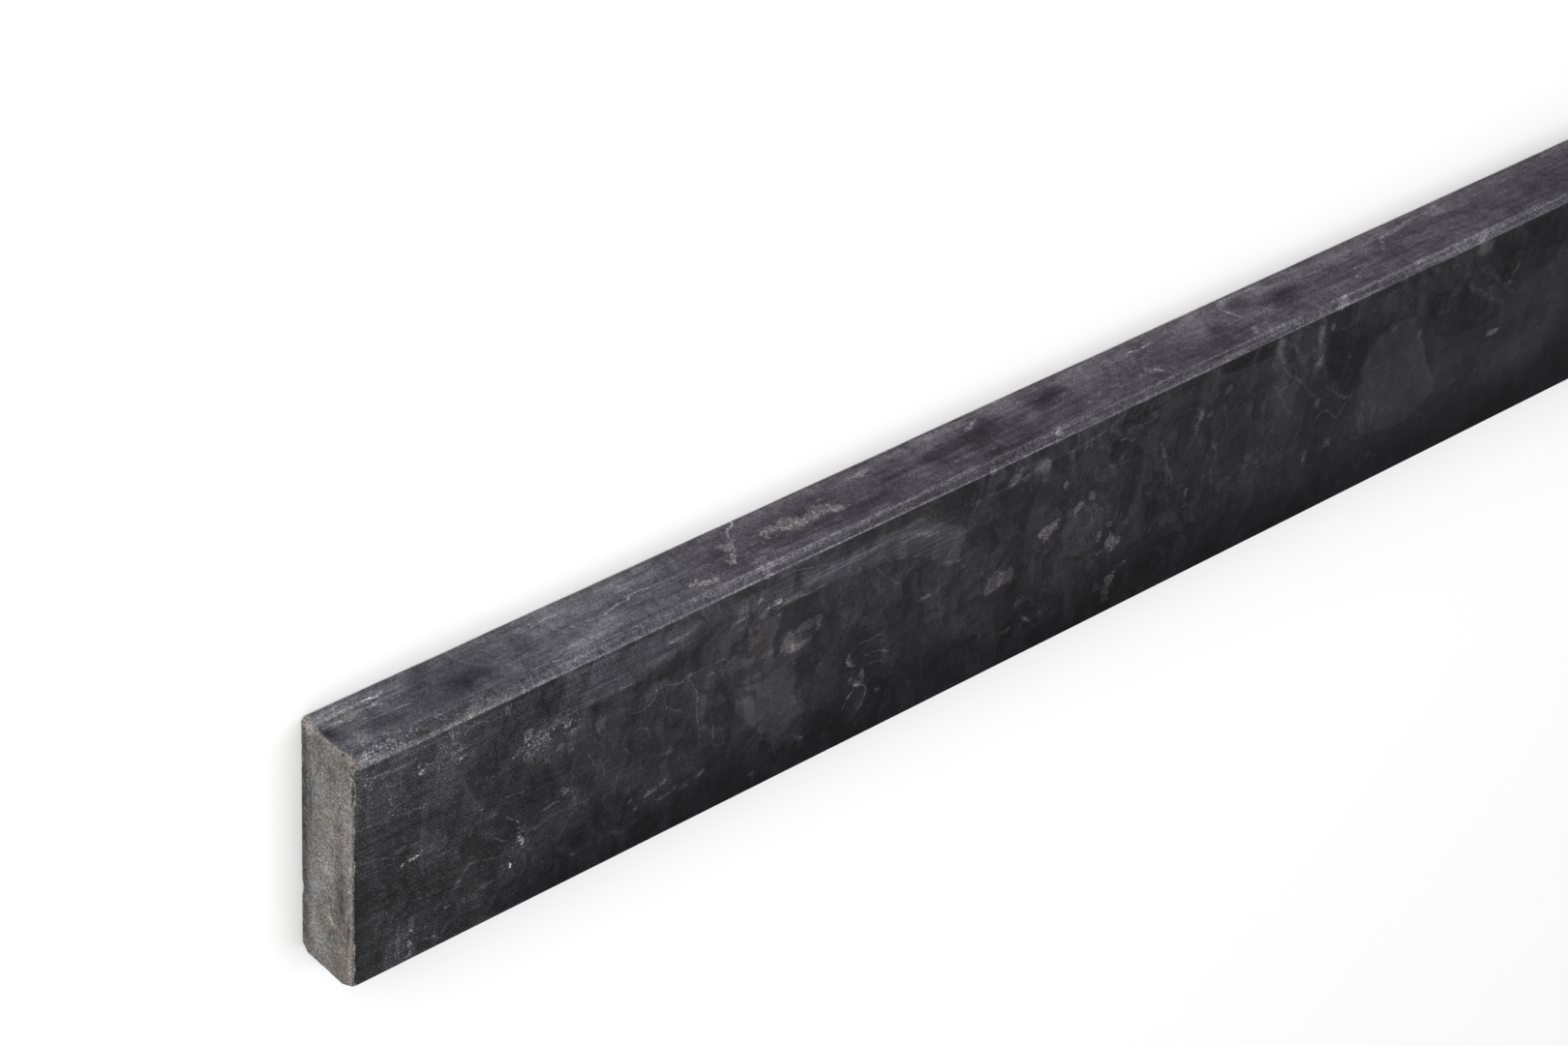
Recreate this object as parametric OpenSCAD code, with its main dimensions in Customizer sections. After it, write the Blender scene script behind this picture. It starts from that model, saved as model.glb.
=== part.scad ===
// Door sill sawn from one piece of dark limestone, lying on its bed with the tread up.
// X runs along the sill, Y across the tread, Z up. The origin is the middle of the bed.
// The end at +X is the worn one: its edges are chipped and its saw cut ends in a broken lip.

/* [Sill] */
// Length that the sill is sold in
length = 1000; // [400:10:2400]
// Width of the tread, from side to side
width = 100; // [70:1:250]
// Thickness, from the bed to the tread
thickness = 30; // [20:1:60]

/* [Tread edges] */
// Width and height of the chamfer along each long edge of the tread
chamfer = 3.5; // [1:0.5:6]

/* [Worn end] */
// How far the tread's edge at the worn end is rubbed back
arris_wear = 0.8; // [0.3:0.1:1.5]
// How deep the broken lip lies behind the saw cut
lip_depth = 0.4; // [0.2:0.1:0.8]
// How much of the thickness the broken lip takes at its widest
lip_share = 0.17; // [0.1:0.01:0.25]
// Height of the rounded corner between the bed and the far side
corner_round = 3.6; // [1.5:0.1:5]

/* [Hidden] */

end_x = length / 2;
side_y = width / 2;
chamfer_foot = thickness - chamfer;

// Chips along the bed's edge at the worn end: share of the width from the -Y side, radius, bite.
bed_chips = [
    [0.09, 40, 0.7], [0.23, 7, 0.6], [0.34, 60, 0.5], [0.55, 23, 0.8],
    [0.64, 60, 0.6], [0.74, 18, 1.2], [0.86, 60, 0.7]
];
// Chips along the upright edge between the worn end and the -Y side: share of the thickness, radius, bite.
side_chips = [[0.05, 6, 0.8], [0.22, 9, 0.8], [0.43, 5, 0.5], [0.60, 10, 0.8], [0.80, 7, 0.9]];
// Chips along the tread's edge at the worn end: share of the width, radius, bite.
tread_chips = [[0.06, 9, 0.5], [0.31, 7, 0.4], [0.72, 16, 0.9], [0.90, 10, 0.5]];

// The broken lip's upper outline: share of the width, share of the lip's widest height.
lip_line = [[0, 0.45], [0.2, 0.9], [0.46, 1], [0.5, 0.75], [0.8, 0.8], [1, 0.6]];

// A shallow hollow in the sawn face, beside the tread: radius across and depth.
hollow_reach = 9;
hollow_depth = 0.7;

// Cutting shapes reach this far past the stone.
past = 2;

// A hollow bite: a ball that dips `bite` below the point `at`, coming from the side `out`.
module scoop(at, out, radius, bite) {
    away = out / norm(out);
    translate(at + away * (radius - bite)) sphere(r = radius, $fn = 96);
}

// A flat knock: everything more than `bite` short of the point `at`, along `out`, comes off.
module knock(at, out, bite, reach) {
    translate(at)
        rotate([0, acos(out[2] / norm(out)), atan2(out[1], out[0])])
            translate([-reach / 2, -reach / 2, -bite])
                cube(reach);
}

// The sawn section: square at the bed, chamfered on both edges of the tread.
module section() {
    polygon([
        [-side_y, 0], [side_y, 0], [side_y, chamfer_foot], [side_y - chamfer, thickness],
        [-side_y + chamfer, thickness], [-side_y, chamfer_foot]
    ]);
}

module stock() {
    rotate([90, 0, 90])
        linear_extrude(height = length, center = true)
            section();
}

// The last of the saw cut, which snapped instead of being sawn, along the bed.
module broken_lip() {
    widest = lip_share * thickness;
    outline = [for (p = lip_line) [(p[0] - 0.5) * (width + 2 * past), p[1] * widest]];
    translate([end_x - lip_depth, 0, 0])
        rotate([90, 0, 90])
            linear_extrude(height = lip_depth + past)
                polygon(concat(outline, [[side_y + past, -past], [-side_y - past, -past]]));
}

// Bites out of the three edges of the worn end, and the hollow in its face.
module chips() {
    for (c = bed_chips)
        scoop([end_x, (c[0] - 0.5) * width, 0], [1, 0, -1], c[1], c[2]);
    for (c = side_chips)
        scoop([end_x, -side_y, c[0] * thickness], [1, -1, 0], c[1], c[2]);
    for (c = tread_chips)
        scoop([end_x, (c[0] - 0.5) * width, thickness], [1, 0, 1], c[1], c[2]);
    hollow_radius = (hollow_reach * hollow_reach + hollow_depth * hollow_depth) / (2 * hollow_depth);
    scoop([end_x, 0.21 * width, 0.68 * thickness], [1, 0, 0], hollow_radius, hollow_depth);
}

// The tread's edge at the worn end, rubbed back in two narrow flats.
module rubbed_edge() {
    for (lean = [0.5, 2])
        knock([end_x, 0, thickness], [lean, 0, 1], arris_wear * 0.8, width + 2 * past);
}

// The corner between the bed and the +Y side, knocked round in flats that fade along the sill.
module rounded_corner() {
    for (turn = [22.5, 45, 67.5])
        knock([end_x, side_y, 0], [0.15, cos(turn), -sin(turn)],
              corner_round * (cos(turn) + sin(turn) - 1), 12 * corner_round);
}

// The small knocks where an end's edge meets a long edge.
module knocked_points() {
    knock([end_x, -side_y, 0], [1, -1, -1], 1.2, 20);
    knock([end_x, -side_y, chamfer_foot], [1, -1, 0.6], 1.1, 20);
    knock([end_x, -side_y + chamfer, thickness], [1, -0.6, 1], 1.1, 20);
    knock([end_x, side_y, chamfer_foot], [1, 1, 0.6], 1.2, 20);
    knock([end_x, side_y - chamfer, thickness], [1, 0.6, 1], 1.3, 20);
}

// The sill: one piece of stone, plain at the -X end and worn at the +X end.
module sill() {
    color([0.24, 0.24, 0.26])
        difference() {
            stock();
            broken_lip();
            chips();
            rubbed_edge();
            rounded_corner();
            knocked_points();
        }
}

sill();
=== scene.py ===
# %% [markdown]
# # A stone door sill
#
# The real object is one strip of dark limestone, sawn from a block and honed on its tread, with
# both long edges of the tread chamfered so that feet don't chip them. It lies on its bed, tread
# up. One end is worn: it was sawn roughly, its edges are chipped, and the last of the cut snapped.
#
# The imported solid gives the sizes. This file dresses it in a finer skin of stone. Lengths of the
# stone are in mm; the finished mesh, the camera, the floor and the lamps are in metres.

import bpy
import numpy as np
from mathutils import Matrix, Vector


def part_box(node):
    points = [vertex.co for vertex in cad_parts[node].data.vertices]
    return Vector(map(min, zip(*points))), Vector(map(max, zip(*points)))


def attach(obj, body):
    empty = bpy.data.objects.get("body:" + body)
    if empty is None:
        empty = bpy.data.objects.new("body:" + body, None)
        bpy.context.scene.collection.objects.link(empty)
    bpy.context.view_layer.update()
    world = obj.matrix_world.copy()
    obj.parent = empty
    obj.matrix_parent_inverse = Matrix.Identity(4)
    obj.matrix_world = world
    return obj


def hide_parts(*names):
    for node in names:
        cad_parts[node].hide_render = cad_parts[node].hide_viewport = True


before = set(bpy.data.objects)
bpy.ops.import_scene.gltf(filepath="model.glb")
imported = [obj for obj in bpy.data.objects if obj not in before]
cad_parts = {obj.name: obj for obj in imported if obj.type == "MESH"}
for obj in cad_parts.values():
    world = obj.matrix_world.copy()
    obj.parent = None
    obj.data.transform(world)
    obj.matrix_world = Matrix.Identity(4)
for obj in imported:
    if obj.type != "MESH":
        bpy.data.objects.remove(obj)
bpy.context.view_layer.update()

MM = 0.001
lowest, highest = (np.array(corner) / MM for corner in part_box("sill"))
LENGTH, WIDTH, THICK = highest - lowest
END, SIDE = LENGTH / 2, WIDTH / 2
CHAMFER = 3.5
FOOT = THICK - CHAMFER
print(f"sill {LENGTH:.0f} x {WIDTH:.0f} x {THICK:.0f} mm")

# %% [markdown]
# ## Camera
#
# A long lens from a metre and a half away keeps the sill's long edges nearly parallel, as a
# product picture does. The camera looks down on the tread from beside the worn end, and it is
# rolled so that the tread fills the picture as a broad band. Turning it by hand with three angles
# would be guesswork. A camera looks along its own -Z, so its three axes are built from the line of
# sight and the direction that is up in the picture.

# %% Camera
CAMERA_SPOT = Vector((1.16594, -0.96942, 0.93354))
LINE_OF_SIGHT = Vector((-0.55319, 0.58829, -0.58983))
PICTURE_UP = Vector((-0.34837, -0.80651, -0.47768))
LENS_MM = 102.648

camera = bpy.data.objects.new("camera", bpy.data.cameras.new("camera"))
bpy.context.scene.collection.objects.link(camera)
back = -LINE_OF_SIGHT.normalized()
right = PICTURE_UP.cross(back).normalized()
up = back.cross(right)
turned = Matrix((right, up, back)).transposed().to_4x4()
camera.matrix_world = Matrix.Translation(CAMERA_SPOT) @ turned
camera.data.lens = LENS_MM
camera.data.sensor_width = 36
bpy.context.scene.camera = camera
bpy.context.scene.view_settings.view_transform = "Standard"
print("camera looks down by", round(float(np.degrees(np.arcsin(back.z))), 1), "degrees")

# %% [markdown]
# ## Shader arithmetic
#
# A material is a web of small nodes. Wiring it node by node hides the idea behind it, so a value
# on a link is wrapped in a class whose + - * / add Math nodes. A pattern then reads as a formula.

# %% Values on links
class Wire:
    """A number that changes over the surface, carried by a shader link."""

    def __init__(self, socket):
        self.socket = socket

    def __add__(self, other):
        return maths("ADD", self, other)

    def __sub__(self, other):
        return maths("SUBTRACT", self, other)

    def __mul__(self, other):
        return maths("MULTIPLY", self, other)

    def __truediv__(self, other):
        return maths("DIVIDE", self, other)

    def __rsub__(self, other):
        return maths("SUBTRACT", other, self)

    __radd__ = __add__
    __rmul__ = __mul__


def node(tree, kind, *feeds, out=0, **settings):
    """Adds a shader node. Feeds go to its sockets in order: a link, a value, or None to skip one."""
    made = tree.nodes.new("ShaderNode" + kind)
    for name, value in settings.items():
        setattr(made, name, value)
    for socket, feed in zip(made.inputs, feeds):
        if isinstance(feed, Wire):
            tree.links.new(feed.socket, socket)
        elif feed is not None:
            socket.default_value = feed
    return Wire(made.outputs[out]) if made.outputs else None


def maths(operation, a, b=None, c=None):
    """A Math node on whichever tree its first link belongs to."""
    wired = a if isinstance(a, Wire) else b
    return node(wired.socket.id_data, "Math", a, b, c, operation=operation)


def ramp(value, start, stop, low=0.0, high=1.0):
    """An S-shaped step: `low` where the value is under `start`, `high` where it is over `stop`."""
    return node(value.socket.id_data, "MapRange", value, start, stop, low, high,
                interpolation_type="SMOOTHSTEP")


def blend(share, below, above):
    """A mix of two colours: `below` where the share is 0, `above` where it is 1."""
    return node(share.socket.id_data, "Mix", share, None, None, None, None, None, below, above,
                out=2, data_type="RGBA")


def new_tree(owner):
    """An empty node tree on a material or world."""
    owner.use_nodes = True
    owner.node_tree.nodes.clear()
    return owner.node_tree


# %% [markdown]
# ## Floor, world and lamps
#
# A pale floor takes the soft shadow; the camera sees it as white. The world is a pale, even light.
# One broad lamp hangs overhead, and one stands low beside the worn end, so that the narrow side
# and the sawn end catch a little more light than the tread does. Small hard lamps would show every
# bump, but they would also draw black shadows, which honed stone in a bright room doesn't have.

# %% Floor
FLOOR_REACH = 30.0
FLOOR_DROP = 0.0002
floor_mesh = bpy.data.meshes.new("floor")
floor_plan = FLOOR_REACH * np.array([(-1, -1), (1, -1), (1, 1), (-1, 1)])
floor_mesh.from_pydata([(x, y, -FLOOR_DROP) for x, y in floor_plan], [], [(0, 1, 2, 3)])
floor = bpy.data.objects.new("floor", floor_mesh)
bpy.context.scene.collection.objects.link(floor)
paper = bpy.data.materials.new("white_paper")
paper_tree = new_tree(paper)
seen = node(paper_tree, "LightPath")
shade = blend(seen, (0.8, 0.8, 0.8, 1), (1, 1, 1, 1))
node(paper_tree, "OutputMaterial", node(paper_tree, "BsdfDiffuse", shade))
floor_mesh.materials.append(paper)
print("floor", 2 * FLOOR_REACH, "m wide")

# %% World
WORLD_LIGHT = 0.42
world = bpy.data.worlds.new("studio")
bpy.context.scene.world = world
world_tree = new_tree(world)
seen = node(world_tree, "LightPath")
sky = node(world_tree, "Background", (1, 1, 1, 1), WORLD_LIGHT)
white = node(world_tree, "Background", (1, 1, 1, 1), 1.0)
node(world_tree, "OutputWorld", node(world_tree, "MixShader", seen, sky, white))
print("the world lights at", WORLD_LIGHT, "and is seen at 1")

# %% Lamps
def soft_lamp(name, spot, size, watts):
    """A square area lamp at `spot`, in metres, that faces the middle of the worn half."""
    data = bpy.data.lights.new(name, "AREA")
    data.size = size
    data.energy = watts
    lamp = bpy.data.objects.new(name, data)
    bpy.context.scene.collection.objects.link(lamp)
    lamp.location = spot
    lamp.rotation_euler = (LIT_SPOT - Vector(spot)).to_track_quat("-Z", "Y").to_euler()
    print(name, "gives", watts, "W")


LIT_SPOT = Vector((0.25, 0, 0))
soft_lamp("overhead_lamp", spot=(0.2, -0.3, 3.0), size=3.0, watts=55)
soft_lamp("side_lamp", spot=(2.0, -2.0, 1.1), size=1.4, watts=44)

# %% [markdown]
# ## The skin of the sill
#
# Every outer point of the sill is worked out from two numbers: how far along the sill it lies, and
# how far round the section. The section is a ring of points, packed closely where two faces meet,
# and the stations along the sill are close together at the worn end, where the chips are small.
# Both ends are closed by a grid whose rim is the ring itself, so the skin has no seam. Subdividing
# a box would give a skin too, but with its points spread evenly, most of them where nothing is worn.

# %% Points across and up the section
TREAD_STEPS, SIDE_STEPS = 66, 17


def edged(span, steps, tight=(0.35, 0.85)):
    """Places from 0 to span: even steps, with two more close to each end for the worn edges."""
    first = tight[1] * 2
    even = np.linspace(first, span - first, steps)
    return np.concatenate([[0], tight, even, span - np.array(tight[::-1]), [span]])


CHAMFER_ROWS = CHAMFER * np.array([0, 0.1, 0.5, 0.9, 1])
tread_rows = edged(WIDTH - 2 * CHAMFER, TREAD_STEPS) - SIDE + CHAMFER
across = np.concatenate([CHAMFER_ROWS[:-1] - SIDE, tread_rows, SIDE - CHAMFER_ROWS[-2::-1]])
up_side = edged(FOOT, SIDE_STEPS) / FOOT
print(len(across), "rows across,", len(up_side), "rows up a side")

# %% Stations along the sill
# Steps grow from the worn end to an even width, grow again where less is seen, and shrink at the
# plain end. They are then scaled so that they fill the length.
FINEST, EVEN, WIDEST = 0.35, 1.7, 7.0
NEAR_COUNT, FAR_COUNT, LAST_COUNT = 385, 62, 5
near_steps = np.minimum(FINEST * 1.08 ** np.arange(NEAR_COUNT), EVEN)
far_steps = np.minimum(EVEN * 1.06 ** np.arange(FAR_COUNT), WIDEST)
last_steps = WIDEST * 0.55 ** np.arange(1, LAST_COUNT + 1)
steps = np.concatenate([near_steps, far_steps, last_steps])
stations = END - LENGTH * np.concatenate([[0], np.cumsum(steps)]) / steps.sum()
print(len(stations), "stations; the first two are", round(stations[0] - stations[1], 2), "mm apart")

# %% The end grid and the ring
def section_top(y):
    """The height of the section: flat, and falling at 45 degrees over each chamfer."""
    return THICK - np.maximum(np.abs(y) - (SIDE - CHAMFER), 0)


grid_y = np.repeat(across[:, None], len(up_side), 1)
grid_z = up_side[None, :] * section_top(across)[:, None]
columns, rows = len(across) - 1, len(up_side) - 1


def rim(grid):
    """The values round the edge of a grid: bed, far side, tread and near side, in that order."""
    return np.concatenate([grid[:-1, 0], grid[-1, :-1], grid[:0:-1, -1], grid[0, :0:-1]])


ring_y, ring_z = rim(grid_y), rim(grid_z)
RING = len(ring_y)
print(RING, "points round the ring")

# %% [markdown]
# ### Joining the skin
#
# Vertices get their numbers station by station. The two end grids take the ring's own numbers
# along their rims, and new numbers inside. Each cell is one four-sided face, wound so that it
# faces out of the stone.

# %% Vertices
tube = np.empty((len(stations), RING, 3))
tube[..., 0] = stations[:, None]
tube[..., 1] = ring_y
tube[..., 2] = ring_z
inner = np.stack([grid_y[1:-1, 1:-1], grid_z[1:-1, 1:-1]], -1).reshape(-1, 2)
near_cap = np.column_stack([np.full(len(inner), END), inner])
far_cap = np.column_stack([np.full(len(inner), -END), inner])
skin = np.concatenate([tube.reshape(-1, 3), near_cap, far_cap])
first_x, first_y, first_z = skin.T

# %% Faces
def cap_numbers(rim_start, inner_start):
    """The vertex numbers of an end grid: the ring's along its rim, and new ones inside it."""
    ids = np.empty((columns + 1, rows + 1), int)
    ring = rim_start + np.arange(RING + 1) % RING
    ids[:, 0] = ring[:columns + 1]
    ids[-1, :] = ring[columns:columns + rows + 1]
    ids[::-1, -1] = ring[columns + rows:2 * columns + rows + 1]
    ids[0, ::-1] = ring[2 * columns + rows:]
    ids[1:-1, 1:-1] = inner_start + np.arange(len(inner)).reshape(columns - 1, rows - 1)
    return ids


def cells(ids):
    """The four corners of each cell of a grid of numbers, or of a grid of places."""
    corners = np.stack([ids[:-1, :-1], ids[1:, :-1], ids[1:, 1:], ids[:-1, 1:]], 2)
    return corners.reshape(-1, *corners.shape[2:])


tube_ids = np.arange(len(stations) * RING).reshape(-1, RING)
tube_ids = np.concatenate([tube_ids, tube_ids[:, :1]], 1)
near_ids = cap_numbers(0, tube.size // 3)
far_ids = cap_numbers((len(stations) - 1) * RING, tube.size // 3 + len(inner))
faces = np.concatenate([cells(tube_ids), cells(near_ids), cells(far_ids)[:, ::-1]])
print(len(skin), "vertices and", 2 * len(faces), "triangles")

# %% [markdown]
# ## Wear
#
# Stone breaks in shallow scoops, because a crack runs round like part of a ball. So a chip is
# made by pushing every point that lies inside a ball straight out to the ball's surface. An edge
# that is rubbed away is a flat knock: what stands beyond a plane is laid down on it. Both only
# ever move points into the stone, so the sill keeps its size. Boolean cuts would give the same
# forms, but they leave slivers, and moving the points keeps the skin's mesh whole.

# %% Two ways to take stone away
def scoop(points, at, out, radius, bite):
    """Points inside a ball move away from its centre onto it. The ball dips `bite` below `at`."""
    out = np.array(out, float)
    centre = np.array(at, float) + out / np.linalg.norm(out) * (radius - bite)
    away = points - centre
    distance = np.linalg.norm(away, axis=-1, keepdims=True)
    return np.where(distance < radius, centre + away * radius / np.maximum(distance, 1e-9), points)


def knock(points, at, out, bite):
    """Points less than `bite` below `at`, measured along `out`, drop back to that depth."""
    out = np.array(out, float) / np.linalg.norm(out)
    over = np.maximum((points - np.array(at, float)) @ out + bite, 0)
    return points - over[:, None] * out


# %% Smooth random bumps
def lumps(points, size, seed):
    """Values from -1 to 1: random numbers on a cubic grid `size` mm wide, eased between corners."""
    table = np.random.default_rng(seed).uniform(-1, 1, (32, 32, 32))
    place = points / size
    corner = np.floor(place).astype(int)
    t = place - corner
    t = t * t * (3 - 2 * t)
    total = np.zeros(len(points))
    for step in np.ndindex(2, 2, 2):
        weight = np.prod(np.where(step, t, 1 - t), -1)
        total += weight * table[tuple(((corner + step) % 32).T)]
    return total


def rough(points, size, seed, layers=3):
    """Several lumps laid over each other, each half as wide and half as strong as the last."""
    return sum(lumps(points, size / 2 ** k, seed + k) / 2 ** k for k in range(layers))


# %% The broken lip, where the last of the saw cut snapped
LIP_DEPTH = 0.4
LIP_HEIGHT = 0.17 * THICK
lip_y = (np.array([0, 0.2, 0.46, 0.5, 0.8, 1]) - 0.5) * WIDTH
lip_z = np.array([0.45, 0.9, 1, 0.75, 0.8, 0.6]) * LIP_HEIGHT
worn = skin.copy()
in_lip = worn[:, 2] < np.interp(worn[:, 1], lip_y, lip_z)
worn[:, 0] = np.where(in_lip, np.minimum(worn[:, 0], END - LIP_DEPTH), worn[:, 0])
print("the lip stands", LIP_DEPTH, "mm back and is up to", round(LIP_HEIGHT, 1), "mm high")

# %% Chips along the worn end's edges: share of the way along the edge, radius, bite
bed_chips = [(0.09, 40, 0.15), (0.12, 4, 0.5), (0.20, 5, 0.4), (0.55, 23, 0.2),
             (0.73, 9, 0.9), (0.86, 60, 0.12)]
side_chips = [(0.05, 6, 0.8), (0.22, 9, 0.8), (0.43, 5, 0.5), (0.60, 10, 0.8), (0.80, 7, 0.9)]
tread_chips = [(0.06, 9, 0.5), (0.31, 7, 0.4), (0.72, 16, 0.9), (0.90, 10, 0.5)]
for share, radius, bite in bed_chips:
    worn = scoop(worn, (END, (share - 0.5) * WIDTH, 0), (1, 0, -1), radius, bite)
for share, radius, bite in side_chips:
    worn = scoop(worn, (END, -SIDE, share * THICK), (1, -1, 0), radius, bite)
for share, radius, bite in tread_chips:
    worn = scoop(worn, (END, (share - 0.5) * WIDTH, THICK), (1, 0, 1), radius, bite)
print(len(bed_chips + side_chips + tread_chips), "chips")

# %% The hollow in the sawn face
HOLLOW_SPOT = (END, 0.21 * WIDTH, 0.68 * THICK)
HOLLOW_REACH, HOLLOW_DEPTH = 9, 0.7
hollow_radius = (HOLLOW_REACH ** 2 + HOLLOW_DEPTH ** 2) / (2 * HOLLOW_DEPTH)
worn = scoop(worn, HOLLOW_SPOT, (1, 0, 0), hollow_radius, HOLLOW_DEPTH)
print("the hollow is part of a ball", round(hollow_radius), "mm in radius")

# %% Rubbed edge, rounded corner and knocked points of the worn end
ARRIS_WEAR, UPRIGHT_WEAR = 0.8, 0.45
CORNER_ROUND = 3.6
for lean, share in ((0.4, 0.7), (1, 1.25), (2.5, 0.7)):
    bite = ARRIS_WEAR * share * (1 + 0.35 * rough(worn * (0, 1, 0), 5, 71))
    worn = knock(worn, (END, 0, THICK), (lean, 0, 1), bite)
bite = UPRIGHT_WEAR + 0.35 * rough(worn * (0, 0, 1), 4, 81)
worn = knock(worn, (END, -SIDE, 0), (1, -1, 0), bite)
for turn in np.radians((22.5, 45, 67.5)):
    bite = CORNER_ROUND * (np.cos(turn) + np.sin(turn) - 1)
    worn = knock(worn, (END, SIDE, 0), (0.15, np.cos(turn), -np.sin(turn)), bite)
worn = knock(worn, (END, -SIDE, 0), (1, -1, -1), 1.2)
for hand, foot_bite, top_bite in ((-1, 1.1, 1.1), (1, 1.2, 1.3)):
    worn = knock(worn, (END, hand * SIDE, FOOT), (1, hand, 0.6), foot_bite)
    worn = knock(worn, (END, hand * (SIDE - CHAMFER), THICK), (1, hand * 0.6, 1), top_bite)
print("the corner by the bed is knocked", CORNER_ROUND, "mm round")

# %% [markdown]
# The long edges are rubbed too, by an amount that changes along the sill, and small chips are
# scattered along them, most of them near the worn end.

# %% Rubbed long edges
def rub_line(points, y, z, out, least, most, seed):
    """A knock along a whole edge, whose bite wanders between two depths along the sill."""
    out = np.array((0, *out), float) / np.hypot(*out)
    along = np.column_stack([points[:, 0], np.full(len(points), y), np.full(len(points), z)])
    bite = least + (most - least) * (0.5 + 0.5 * rough(along, 22, seed))
    over = np.maximum((points - (0, y, z)) @ out + bite, 0)
    return points - over[:, None] * out


# A chamfer's edges turn by 45 degrees, so the middle of the turn leans by 22.5.
HALF_TURN = 0.41
PLAIN_END_BITE = 0.3
for hand in (-1, 1):
    worn = rub_line(worn, hand * SIDE, 0, (hand, -1), 0.1, 0.35, 11 + hand)
    worn = rub_line(worn, hand * SIDE, FOOT, (hand, HALF_TURN), 0.02, 0.10, 21 + hand)
    top_out = (HALF_TURN * hand, 1)
    worn = rub_line(worn, hand * (SIDE - CHAMFER), THICK, top_out, 0.02, 0.09, 31 + hand)
for z, out in ((0, (-1, 0, -1)), (THICK, (-1, 0, 1))):
    worn = knock(worn, (-END, 0, z), out, PLAIN_END_BITE)
for hand in (-1, 1):
    worn = knock(worn, (-END, hand * SIDE, 0), (-1, hand, 0), PLAIN_END_BITE)
print("the plain end's edges are rubbed by", PLAIN_END_BITE, "mm")

# %% Small scattered chips; squaring the dice crowds them towards the worn end
dice = np.random.default_rng(7)
LONG_EDGE_CHIPS, UPRIGHT_CHIPS = 46, 18
CHIPPED_REACH = 70
long_edges = [(-SIDE, FOOT), (-SIDE + CHAMFER, THICK), (-SIDE, 0)]
for _ in range(LONG_EDGE_CHIPS):
    edge_y, edge_z = long_edges[dice.integers(3)]
    spot = (END - CHIPPED_REACH * dice.random() ** 2, edge_y, edge_z)
    out = (0.2, -1, 1 if edge_z else -1)
    worn = scoop(worn, spot, out, dice.uniform(1.2, 3.0), dice.uniform(0.1, 0.35))
for edge_z, lean, count, least, most in ((THICK, 1, 34, 0.4, 0.9), (0, -1, 14, 0.15, 0.4)):
    for _ in range(count):
        spot = (END, dice.uniform(-SIDE, SIDE), edge_z)
        worn = scoop(worn, spot, (1, 0, lean), dice.uniform(1.0, 2.6), dice.uniform(least, most))
for _ in range(UPRIGHT_CHIPS):
    spot = (END, -SIDE, dice.uniform(0, THICK))
    worn = scoop(worn, spot, (1, -1, 0), dice.uniform(1.0, 2.4), dice.uniform(0.2, 0.6))
chipped = np.linalg.norm(worn - skin, axis=1)
print("deepest chip", round(float(chipped.max()), 2), "mm")

# %% [markdown]
# A coarse saw leaves the ends rough, and no face is quite flat. Both are lumps under half a
# millimetre, pressed in from the face: along the sill on the ends, and towards a core on the rest.

# %% Rough-sawn relief of the two ends, and a faint unevenness everywhere
CORE_DEPTH = 8
at_end = np.clip(1 - (END - np.abs(first_x)) / 0.5, 0, 1)
sawn = 0.10 * rough(worn, 3.0, 41, 2) + 0.06 * rough(worn * (1, 0.35, 1), 1.6, 51, 2)
saw_depth = np.clip(0.05 + sawn, 0, 0.4)
worn[:, 0] -= np.sign(first_x) * at_end * saw_depth
core_y = np.clip(worn[:, 1], -SIDE + CORE_DEPTH, SIDE - CORE_DEPTH)
core_z = np.clip(worn[:, 2], CORE_DEPTH, THICK - CORE_DEPTH)
inward = np.column_stack([np.zeros(len(worn)), core_y - worn[:, 1], core_z - worn[:, 2]])
inward /= np.maximum(np.linalg.norm(inward, axis=1, keepdims=True), 1)
sag = 0.03 + 0.03 * rough(worn * (0.2, 1, 1), 9, 61, 2)
worn += inward * np.clip(sag, 0, 0.1)[:, None]
worn = np.clip(worn, lowest, highest)
print("the relief of the ends is up to", round(float(saw_depth.max()), 2), "mm deep")

# %% Build the mesh
sill_mesh = bpy.data.meshes.new("sill_skin")
sill_mesh.vertices.add(len(worn))
sill_mesh.vertices.foreach_set("co", (worn * MM).astype(np.float32).ravel())
sill_mesh.loops.add(faces.size)
sill_mesh.loops.foreach_set("vertex_index", faces.ravel().astype(np.int32))
sill_mesh.polygons.add(len(faces))
sill_mesh.polygons.foreach_set("loop_start", np.arange(0, faces.size, 4, dtype=np.int32))
sill_mesh.update(calc_edges=True)
sill_mesh.shade_smooth()
sill = bpy.data.objects.new("sill_skin", sill_mesh)
bpy.context.scene.collection.objects.link(sill)
print("mesh has", len(sill_mesh.polygons), "faces")

# %% [markdown]
# ### The skin laid out flat
#
# For use elsewhere, the skin also gets a flat layout, like wrapping paper: the ring of the section
# is unrolled, the long strip is cut at mid length into two halves, and the ends lie beside them.
# All of it is in one scale, so that nothing is stretched.

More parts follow.
